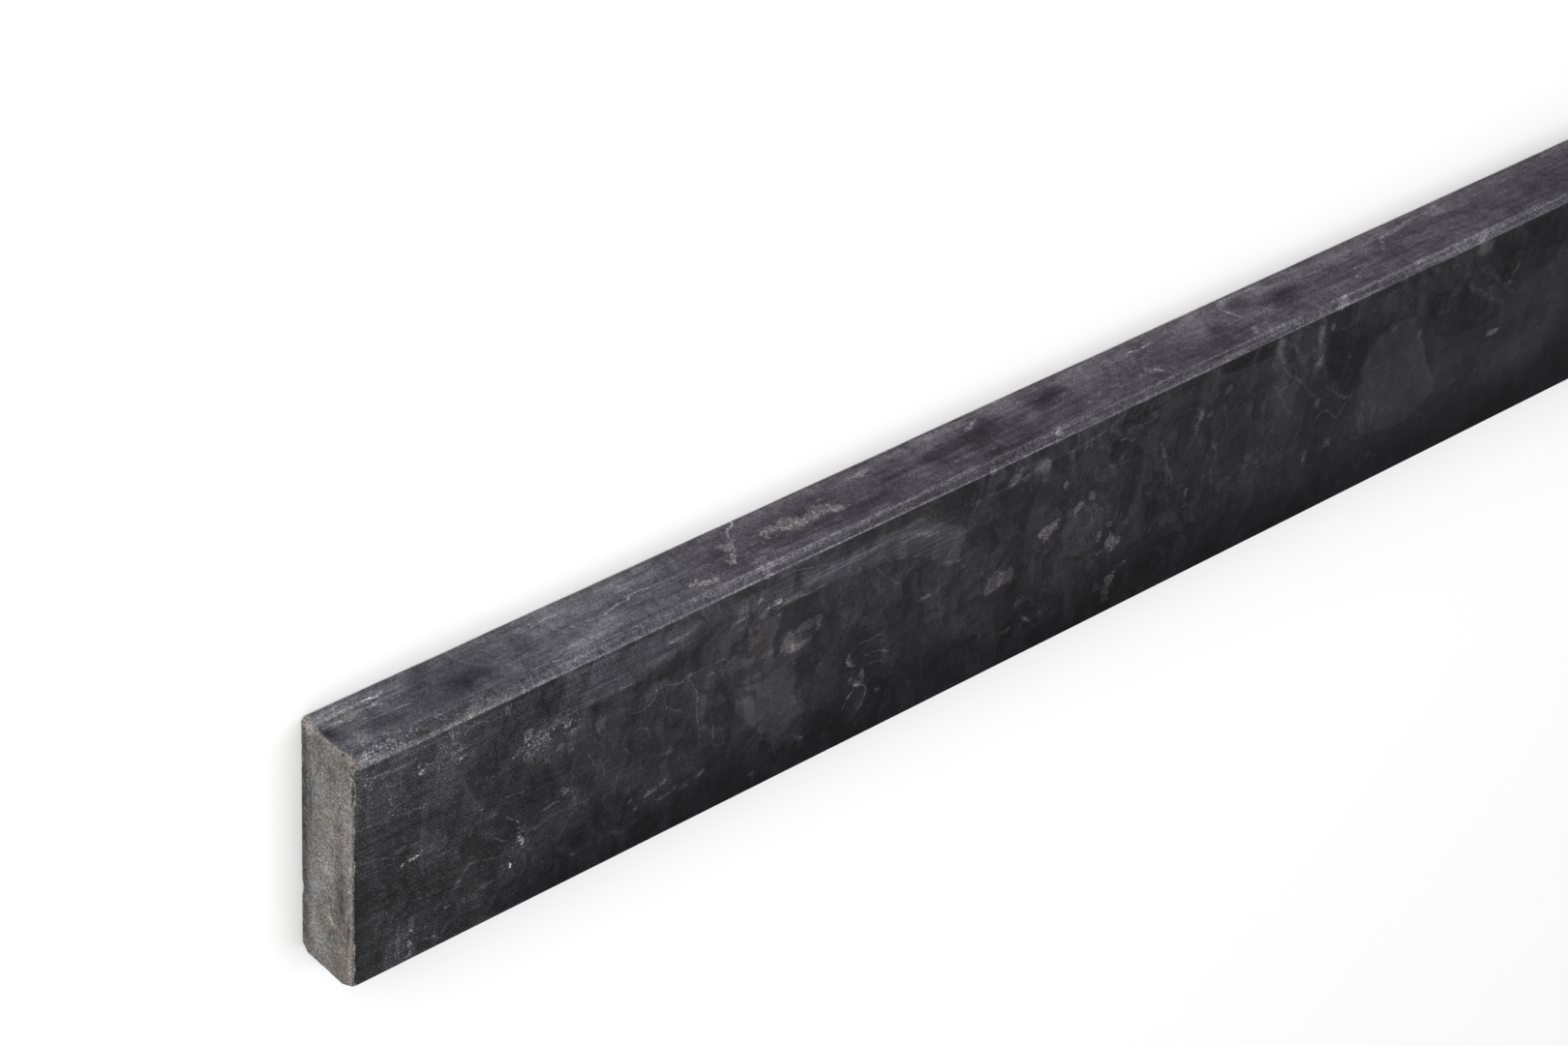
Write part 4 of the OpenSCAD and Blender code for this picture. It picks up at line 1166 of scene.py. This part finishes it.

# %% [markdown]
# ### Bands along the chamfer
#
# Feet and brooms polish a chamfer unevenly. It carries pale and dark bands along its length: one at
# its foot, one in its middle, one inside and a thin line at the tread. The bands at its foot and at
# the tread are partly wear and partly painted highlights, where the rounded edges catch the light.
# Their strengths change from place to place along the sill, and the tread's border wanders a little
# too.

# %% Strengths of the bands at places along the sill
BAND_PLACES = (-500, -110, -30, 30, 100, 200, 300, 340, 385, 440, 472, 492)
# The foot band and the edge line are partly painted highlights on the rounded edges.
chamfer_bands = {
    "foot_band_wear_and_highlight": (0.4, 0.4, 0.9, 0.5, 0.5, 0.5, 0.9, 0.9, 0.1, -0.2, -0.3, 0.4),
    "middle_band": (0.0, 0.0, 0.6, 0.1, 0.05, -0.15, 0.1, 0.4, 0.1, -0.05, -0.4, 0.7),
    "inner_band": (0.15, 0.15, 0.6, 0.2, 0.3, -0.1, -0.3, 0.1, 0.0, 0.05, -0.7, 0.25),
    "edge_line_wear_and_highlight": (0.4, 0.4, 0.5, 0.4, 0.55, 0.7, 0.6, 0.5, 0.3, 0.2, 0.1, 0.0),
    "border_shift": (0.35, 0.35, 0.35, 0.35, 0.35, 0.35, 0.35, 0.3, 0.1, -0.1, -0.5, -0.3),
}

# %% Plain stretches near the worn end, where the stone is less blue
plain_clouds = on_side([
    (497, 26, 5, 5, 0.8), (489, 9, 9, 7, 1.0), (484, 29, 24, 2.0, 1.3), (478, 22, 10, 3, 0.4),
    (470, 28, 12, 3, 0.3), (445, 28.5, 26, 2.0, 0.8),
])

# %% [markdown]
# ### Keeping the map
#
# The map could be painted as an image, but an image has to be stored beside the script. Instead
# each value becomes a named attribute: one number for each point of the mesh, which the material
# reads and blends across the faces.

# %% Keep values on the mesh's points
def keep(name, values):
    """Stores one number for each point of the mesh, under a name that the material can read."""
    sill_mesh.attributes.new(name, "FLOAT", "POINT").data.foreach_set("value", values.astype(np.float32))


def s_step(value, start, stop):
    """0 below `start`, 1 above `stop`, and the S-shaped rise 3 t^2 - 2 t^3 between them."""
    t = np.clip((value - start) / (stop - start), 0, 1)
    return t * t * (3 - 2 * t)


# %% How the tone drifts over the tread; the drift across it is painted light and shade
last_stretch = s_step(first_x, 415, 465)
near_edge_painted_light = s_step(-first_y, 28, 42)
# Towards its far edge the tread gets darker by a stop and more, except beside the worn end. This is
# painted shade, where the light falls off away from the near side.
far_painted_shade = s_step(first_y, 12, 44) * (1 - s_step(first_x, 385, 450))
tread_drift_and_painted_falloff = -0.004 * first_y - (1.35 - 0.35 * s_step(first_x, 330, 360)) * far_painted_shade
tread_drift_and_painted_falloff += last_stretch * 0.2 - 0.2 * s_step(-first_x, -200, -60)
# The worn third is lighter on its near half, and that lift is painted light.
tread_drift_and_painted_falloff += s_step(first_x, 220, 330) * (0.4 * s_step(-first_y, 0, 25) + 0.15 * near_edge_painted_light)

# %% How it drifts over the narrow sides: lighter towards the bed, darker under the chamfer
side_drift = 0.5 * s_step(-first_z, -12, -3) - 0.15 * s_step(first_z, 17, 25) * (first_x < 330)
on_tread = np.abs(unfolded) < SIDE - CHAMFER / 2
tone = np.where(on_tread, tread_drift_and_painted_falloff, side_drift)
tone = tone + clouds(tread_clouds + side_clouds) - 0.6 * clouds(dark_flakes)
print("the tone runs from", round(float(tone.min()), 1), "to", round(float(tone.max()), 1), "stops")

# %% Keep the clouds, regions and stretches
# The kept tone holds the tread's painted light and shade as well as its clouds.
keep("tone", tone)
keep("blue", clouds(blue_clouds))
keep("brown", clouds(brown_clouds))
keep("flecks", clouds(fleck_clouds))
keep("streaked", clouds(streaked_clouds))
keep("even", np.minimum(clouds(even_clouds), 0.85))
keep("plain", clouds(plain_clouds) + on_tread * last_stretch)
for name, values in zip(("region", "region_tone", "region_blue"), regions(tread_regions + side_regions)):
    keep(name, values)

# %% Keep the patches, veins and bands
for name, values in zip(("patch", "patch_strength"), patches(tread_patches + side_patches)):
    keep(name, values)
for name, values in zip(("vein_side", "vein_near", "vein_half", "vein_strength"),
                        lines(tread_veins + side_veins)):
    keep(name, values)
for name, strengths in chamfer_bands.items():
    keep(name, np.interp(first_x, BAND_PLACES, strengths))
print(len(tread_patches + side_patches), "patches and", len(tread_veins + side_veins), "veins")

# %% Keep the worn end's map, and what the tooling left
keep("pale_wrap", clouds(pale_wrap))
keep("dark_flakes", clouds(dark_flakes))
for name, features in (("end_light", end_light), ("end_blue", end_blue),
                       ("end_brown", end_brown), ("end_pits", end_pits)):
    keep(name, end_clouds(features))
keep("sawn", at_end)
keep("chipped", chipped)

# %% Keep where each point lies
keep("across", np.where(first_z > 0, unfolded, 0))
keep("height", first_z)

# %% Keep what changes slowly along the sill
# The worn end is speckled, and its half of the sill has stronger veins. Away from it the ground
# side turns warmer, and the far part of the tread is calm.
keep("near_end", s_step(first_x, 330, 470))
keep("near_half", s_step(first_x, 230, 290))
keep("warm", 1 - s_step(first_x, 330, 380))
keep("calm", (1 - s_step(first_x, -40, 120)) * s_step(first_y, -28, -14))
print(len(sill_mesh.attributes), "attributes on the mesh")

# %% [markdown]
# ## The stone
#
# One material covers the whole strip, because it is one stone. What differs is the tooling: the
# tread is honed and dark, the chamfers and narrow sides are ground and paler, with lengthwise
# scratches, and the ends and bed are rough from the saw. The chamfers and narrow sides are paler
# partly by their finish and partly by painted light. All of it is worked out as a tone in stops,
# plus a share of blue and of brown, and only the last step turns that into a colour.

# %% Nodes that read the mesh and the place
stone = bpy.data.materials.new("limestone")
stone_tree = new_tree(stone)


def kept(name):
    """The values stored on the mesh under this name."""
    return node(stone_tree, "Attribute", attribute_name=name, out=2)


place = node(stone_tree, "TexCoord", out=3)


def grain(size, detail=2.0, stretch=(1, 1, 1), roughness=0.5, on=place, turn=(0, 0, 0), out=0):
    """Noise from about 0 to 1, whose lumps are `size` mm wide, and wider along a stretched axis."""
    scale = [1 / (MM * size * s) for s in stretch]
    where = node(stone_tree, "Mapping", on, None, turn, None)
    where = node(stone_tree, "VectorMath", where, scale, operation="MULTIPLY")
    return node(stone_tree, "TexNoise", where, None, 1.0, detail, roughness, out=out)


def push(vector, reach):
    """Places moved about by up to half of `reach` mm, by a colour that stands for a direction."""
    middle = node(stone_tree, "VectorMath", vector, (0.5, 0.5, 0.5), operation="SUBTRACT")
    moved = node(stone_tree, "VectorMath", middle, None, None, MM * reach, operation="SCALE")
    return node(stone_tree, "VectorMath", place, moved, operation="ADD")


# %% [markdown]
# ### Which tool has been where
#
# A mask is a share from 0 to 1: how much a place belongs to a face. A material for each face would
# meet the next in a hard line, so one material has masks that fade within half a millimetre.

# %% Masks for the faces
across_stone = maths("ABSOLUTE", kept("across"))
height = kept("height")
side_mask = ramp(across_stone, SIDE - 0.2, SIDE + 0.2)
past_border = across_stone - (SIDE - CHAMFER) - kept("border_shift")
top_mask = ramp(past_border, 0.15, -0.15)
chamfer_mask = maths("MAXIMUM", 1 - side_mask - top_mask, 0.0)
bed_mask = ramp(height, 0.25, 0.05)

# %% [markdown]
# ### Noise
#
# No single size of noise looks like stone. So several are made here, from specks half a millimetre
# wide to clouds of some centimetres, and the patterns below are sums of them.

# %% Noise at several sizes
wander = grain(3.0, 2.0) - 0.5
fine = grain(0.9, 3.0, roughness=0.6)
ragged = grain(2.4, 4.0, roughness=0.7)
flow = push(grain(18, 2.0, stretch=(1, 1.3, 1), out=1), 34)
broad = grain(34, 3.0) - 0.5
swirl = grain(9, 5.0, stretch=(0.7, 1.7, 1), roughness=0.6, on=flow) - 0.5
mottle = grain(2.6, 3.0, roughness=0.6) - 0.5
speck = grain(0.6, 2.0, roughness=0.7) - 0.5
streak = grain(0.8, 2.0, stretch=(45, 1, 1)) - 0.5

# %% Where the sawn or broken stone shows
at_arris = ramp(height + (fine - 0.5) * 1.2 + mottle * 0.6, THICK - 0.6, THICK - 0.2)
sawn_mask = ramp(kept("sawn") + (fine - 0.5) * 0.8, 0.35, 0.65) * (1 - at_arris)
fresh = kept("pale_wrap") + (ragged - 0.5) * 1.6
broken = kept("chipped") * 2.2 + (fine - 0.5) * 0.6 - kept("dark_flakes") * 1.4
broken = broken - at_arris * 1.6 + (ragged - 0.5) * 0.8
broken_mask = ramp(maths("MAXIMUM", fresh, broken), 0.5, 0.9)
rough_mask = maths("MAXIMUM", maths("MAXIMUM", sawn_mask, bed_mask), broken_mask)

# %% [markdown]
# ### Broken outlines
#
# The mesh's points are one or two millimetres apart, too far for a ragged outline. But a distance
# changes smoothly from point to point, so noise is added to it first, and only then is it cut off.

# %% Placed veins, patches and flecks, with broken outlines
near_worn = kept("near_end")
vein_off = maths("ABSOLUTE", kept("vein_side") + wander * 1.6)
vein = ramp(vein_off / kept("vein_half"), 1.6, 0.2) * ramp(kept("vein_near"), 2.2, 0.9)
vein = vein * kept("vein_strength") * (kept("near_half") * 0.5 + 0.8)
vein = vein * ramp(ragged, 0.3, 0.6, 0.6, 1.5) * ramp(fine, 0.35, 0.6, 0.7, 1.2)
patch = ramp(kept("patch") + (ragged - 0.5) * 1.6 + (fine - 0.5) * 0.9 + wander * 0.6, -0.1, 0.3)
patch = patch * kept("patch_strength") * ramp(fine, 0.36, 0.62, 0.6, 0.95)
patch = patch * (top_mask * 0.5 + 0.85)
region = ramp(kept("region") + (ragged - 0.5) * 1.8 + wander * 1.2, -0.35, 0.35)
fleck = ramp(fine + mottle * 0.3, 0.555, 0.64) * ramp(ragged, 0.3, 0.6, 0.4, 1.6)
fleck = fleck * (kept("flecks") + near_worn * top_mask * 0.25)

# %% The stone's own clouds, wisps and grain
wisp_field = grain(12, 3.0, stretch=(0.6, 1.8, 1), roughness=0.5, on=flow)
wisp = ramp(maths("ABSOLUTE", wisp_field - 0.5), 0.02, 0.0) * ramp(broad, -0.15, 0.1)
plates = ramp(wisp_field, 0.49, 0.51) - 0.5
bed_field = grain(20, 4.0, stretch=(0.8, 1.5, 1), roughness=0.55, on=flow)
beds = ramp(bed_field, 0.475, 0.49) + ramp(bed_field, 0.53, 0.54) - 1.0
calm = 1 - kept("calm") * 0.65
blue_share = kept("blue") * 0.8 + region * kept("region_blue") * 0.5 + swirl * 1.4 + broad
blue_share = ramp(blue_share + beds * 0.15 + plates * 0.2, -0.1, 0.6)
brown_share = ramp(kept("brown") + swirl * 0.8, 0.2, 1.0)
uneven = 1 - kept("even")
tread_tone = broad * 1.3 + swirl * 1.6 * (calm * 0.5 + 0.5) * (uneven * 0.4 + 0.6)
tread_tone = tread_tone + (mottle * 1.3 + speck * 3.4) * calm + streak * 0.7
tread_tone = tread_tone + (plates * 0.38 + beds * 0.16) * (1.4 * calm - 0.4) * uneven + wisp * 0.6
tread_tone = tread_tone + kept("streaked") * streak * 2.0 + region * kept("region_tone") * 1.3
tread_tone = tread_tone + blue_share * 0.12 - 0.27

# %% The speckled stretch near the worn end
tread_tone = tread_tone + near_worn * (mottle * 0.3 + speck * 4.6 + streak * 0.8 - 0.08)

# %% [markdown]
# ### Ground faces
#
# The narrow sides and chamfers were ground along the sill, which left lengthwise streaks. The
# streaks are noise that is pulled out along X, which costs less than a scratch for each stroke.

# %% The ground narrow sides
side_streak = grain(2.4, 4.0, stretch=(7, 1, 1), roughness=0.65) - 0.5
side_tone = broad * 2.4 + swirl * 1.7 + side_streak * 2.3 + (mottle * 1.3 + speck * 4.0) * calm
side_tone = side_tone + streak * (kept("streaked") * 3.0 + 1.0)
side_tone = side_tone + plates * 0.14 + beds * 0.06 + region * kept("region_tone")

# %% The chamfers, and the pits along their feet
chamfer_tone = side_streak * 1.6 + speck * 5.0 + mottle * 1.8 + streak * 2.6 + broad * 0.8
chamfer_tone = chamfer_tone + near_worn * (mottle * 0.8 + speck * 0.6 - streak * 1.0)
foot_pits = ramp(fine, 0.44, 0.36) * ramp(maths("ABSOLUTE", across_stone - SIDE - 1.0), 2.2, 0.6)
chamfer_tone = chamfer_tone - near_worn * foot_pits * 1.0
side_tone = side_tone - near_worn * foot_pits * 1.0

# %% Bands along the chamfers; the ones at the foot and at the tread are partly painted highlights on the edges
BAND_LINES = {"foot_band_wear_and_highlight": SIDE - 0.5, "middle_band": SIDE - 1.3, "inner_band": SIDE - 2.2}
bands = kept("edge_line_wear_and_highlight") * ramp(maths("ABSOLUTE", past_border - 0.2), 0.45, 0.1)
for name, middle in BAND_LINES.items():
    bands = bands + kept(name) * ramp(maths("ABSOLUTE", across_stone - middle), 0.9, 0.2)
bands = bands * ramp(ragged, 0.3, 0.6, 0.6, 1.3)

# %% [markdown]
# ### From tone to colour
#
# Tones are added up in stops, and two to the power of the sum scales the colour. Layers of pale
# and dark mud mix as shares of light do, so a sum of stops stays natural where many overlap, while
# colours that are added up would burn out.

# %% Add up the tones; the ground faces are lifted above the honed tread, partly for their finish and partly as painted light
SIDE_FINISH_AND_PAINTED_LIGHT, CHAMFER_FINISH_AND_PAINTED_LIGHT = 1.25, 1.3
worked_tone = tread_tone * top_mask + (side_tone + SIDE_FINISH_AND_PAINTED_LIGHT) * side_mask
worked_tone = worked_tone + (chamfer_tone + CHAMFER_FINISH_AND_PAINTED_LIGHT) * chamfer_mask
worked_tone = worked_tone + kept("tone") + vein + patch + fleck * 1.1 + bands
light = maths("POWER", 2.0, worked_tone)

# %% Colours: the base stone, blue silt, ground faces, shell and brown silt
DARK_STONE = (0.0255, 0.0252, 0.0280, 1)
BLUE_STONE = (0.0260, 0.0252, 0.0299, 1)
GROUND_STONE = (0.0273, 0.0252, 0.0302, 1)
SHADED_GROUND = (0.0270, 0.0252, 0.0322, 1)
COOL_GROUND = (0.0257, 0.0252, 0.0291, 1)
CHAMFER_STONE = (0.0266, 0.0252, 0.0299, 1)
PLAIN_STONE = (0.0256, 0.0252, 0.0266, 1)
SHELL = (0.0270, 0.0252, 0.0260, 1)
BROWN_STONE = (0.0272, 0.0252, 0.0252, 1)
hue = blend(blue_share, DARK_STONE, BLUE_STONE)
ground = blend(kept("warm"), COOL_GROUND, GROUND_STONE)
ground = blend(ramp(worked_tone, 2.1, 0.3, 0.0, 0.8), ground, SHADED_GROUND)
hue = blend(side_mask, hue, ground)
hue = blend(chamfer_mask, hue, CHAMFER_STONE)
hue = blend(ramp(kept("plain") + swirl * 1.5, 0.1, 0.9, 0.0, 0.9), hue, PLAIN_STONE)
hue = blend(ramp(worked_tone, 1.6, 3.2, 0.0, 0.6), hue, PLAIN_STONE)
hue = blend(ramp(patch, 0.3, 1.2, 0.0, 0.8), hue, SHELL)
hue = blend(brown_share * 0.8, hue, BROWN_STONE)
worked = node(stone_tree, "VectorMath", hue, None, None, light, operation="SCALE")

# %% [markdown]
# ### Sawn and broken stone
#
# Fresh limestone gives back about seven times as much light as the honed tread, and it is warmer.
# The saw tore more than it cut, so the grain it left is coarse and stands at a slant. Blue and brown
# silt stain the face, with a cream strip below the tread and a worn edge above that.

# %% Colours of the sawn stone
SAWN_STONE = (0.203, 0.187, 0.174, 1)
SAWN_BLUE = (0.180, 0.182, 0.186, 1)
SAWN_BROWN = (0.178, 0.150, 0.140, 1)
SAWN_CREAM = (0.262, 0.228, 0.198, 1)
WORN_EDGE = (0.130, 0.118, 0.110, 1)

# %% The sawn ends and bed
ACROSS_GRAIN = (np.radians(42), 0, 0)
sawn_grain = grain(0.8, 4.0, stretch=(1, 1, 2.4), roughness=0.8, turn=ACROSS_GRAIN) - 0.5
sawn_cloud = grain(6, 3.0) - 0.5
rim_wobble = height + sawn_cloud * 1.6 + mottle * 0.8
cream = ramp(rim_wobble, THICK - 3.8, THICK - 3.1)
worn_edge = ramp(rim_wobble + (fine - 0.5) * 1.5, THICK - 1.6, THICK - 1.2)
pits = ramp(kept("end_pits") + (fine - 0.5) * 1.2, 0.45, 0.8)
sawn_blue = ramp(kept("end_blue") + sawn_grain * 1.2 + sawn_cloud * 2.6, 0.15, 0.8)
sawn_brown = ramp(kept("end_brown") + sawn_grain * 1.0 - sawn_cloud * 1.8, 0.2, 0.9)
sawn_hue = blend(sawn_blue, SAWN_STONE, SAWN_BLUE)
sawn_hue = blend(sawn_brown, sawn_hue, SAWN_BROWN)
sawn_hue = blend(cream * ramp(mottle, -0.25, 0.05, 0.35, 1.0), sawn_hue, SAWN_CREAM)
sawn_hue = blend(worn_edge * sawn_mask, sawn_hue, WORN_EDGE)
sawn_tone = kept("end_light") * 2.4 + sawn_grain * 4.4 + sawn_cloud * 1.2 + speck * 6.0 + mottle
sawn_tone = sawn_tone - pits * 1.7 - 0.12
sawn_light = maths("POWER", 2.0, sawn_tone)
sawn_look = node(stone_tree, "VectorMath", sawn_hue, None, None, sawn_light, operation="SCALE")
colour = blend(rough_mask, worked, sawn_look)

# %% [markdown]
# ### Finest relief
#
# Forms of a tenth of a millimetre are left to bump, because a mesh that fine would be heavy.
# Honed stone of this kind is nearly matt, so the shader's reflection is turned far down.

# %% Relief and shader
BUMP_STRENGTH, BUMP_DEPTH = 0.35, 0.2 * MM
WEAK_REFLECTION = 0.05
relief = speck * 0.6 + streak * 0.5 + sawn_grain * rough_mask * 3.0 - pits * 2.0
bump = node(stone_tree, "Bump", BUMP_STRENGTH, BUMP_DEPTH, None, relief)
shader = stone_tree.nodes.new("ShaderNodeBsdfPrincipled")
stone_tree.links.new(colour.socket, shader.inputs["Base Color"])
stone_tree.links.new(bump.socket, shader.inputs["Normal"])
stone_tree.links.new((0.5 + rough_mask * 0.35 + speck * 0.2).socket, shader.inputs["Roughness"])
shader.inputs["Specular IOR Level"].default_value = WEAK_REFLECTION
node(stone_tree, "OutputMaterial", Wire(shader.outputs[0]))
sill_mesh.materials.append(stone)
print(len(stone_tree.nodes), "nodes in the stone's material")

# %% [markdown]
# ## Into the frame
#
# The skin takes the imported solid's place, and it rides on the only body there is.

# %% Join it to the frame
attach(sill, "root")
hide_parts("sill")
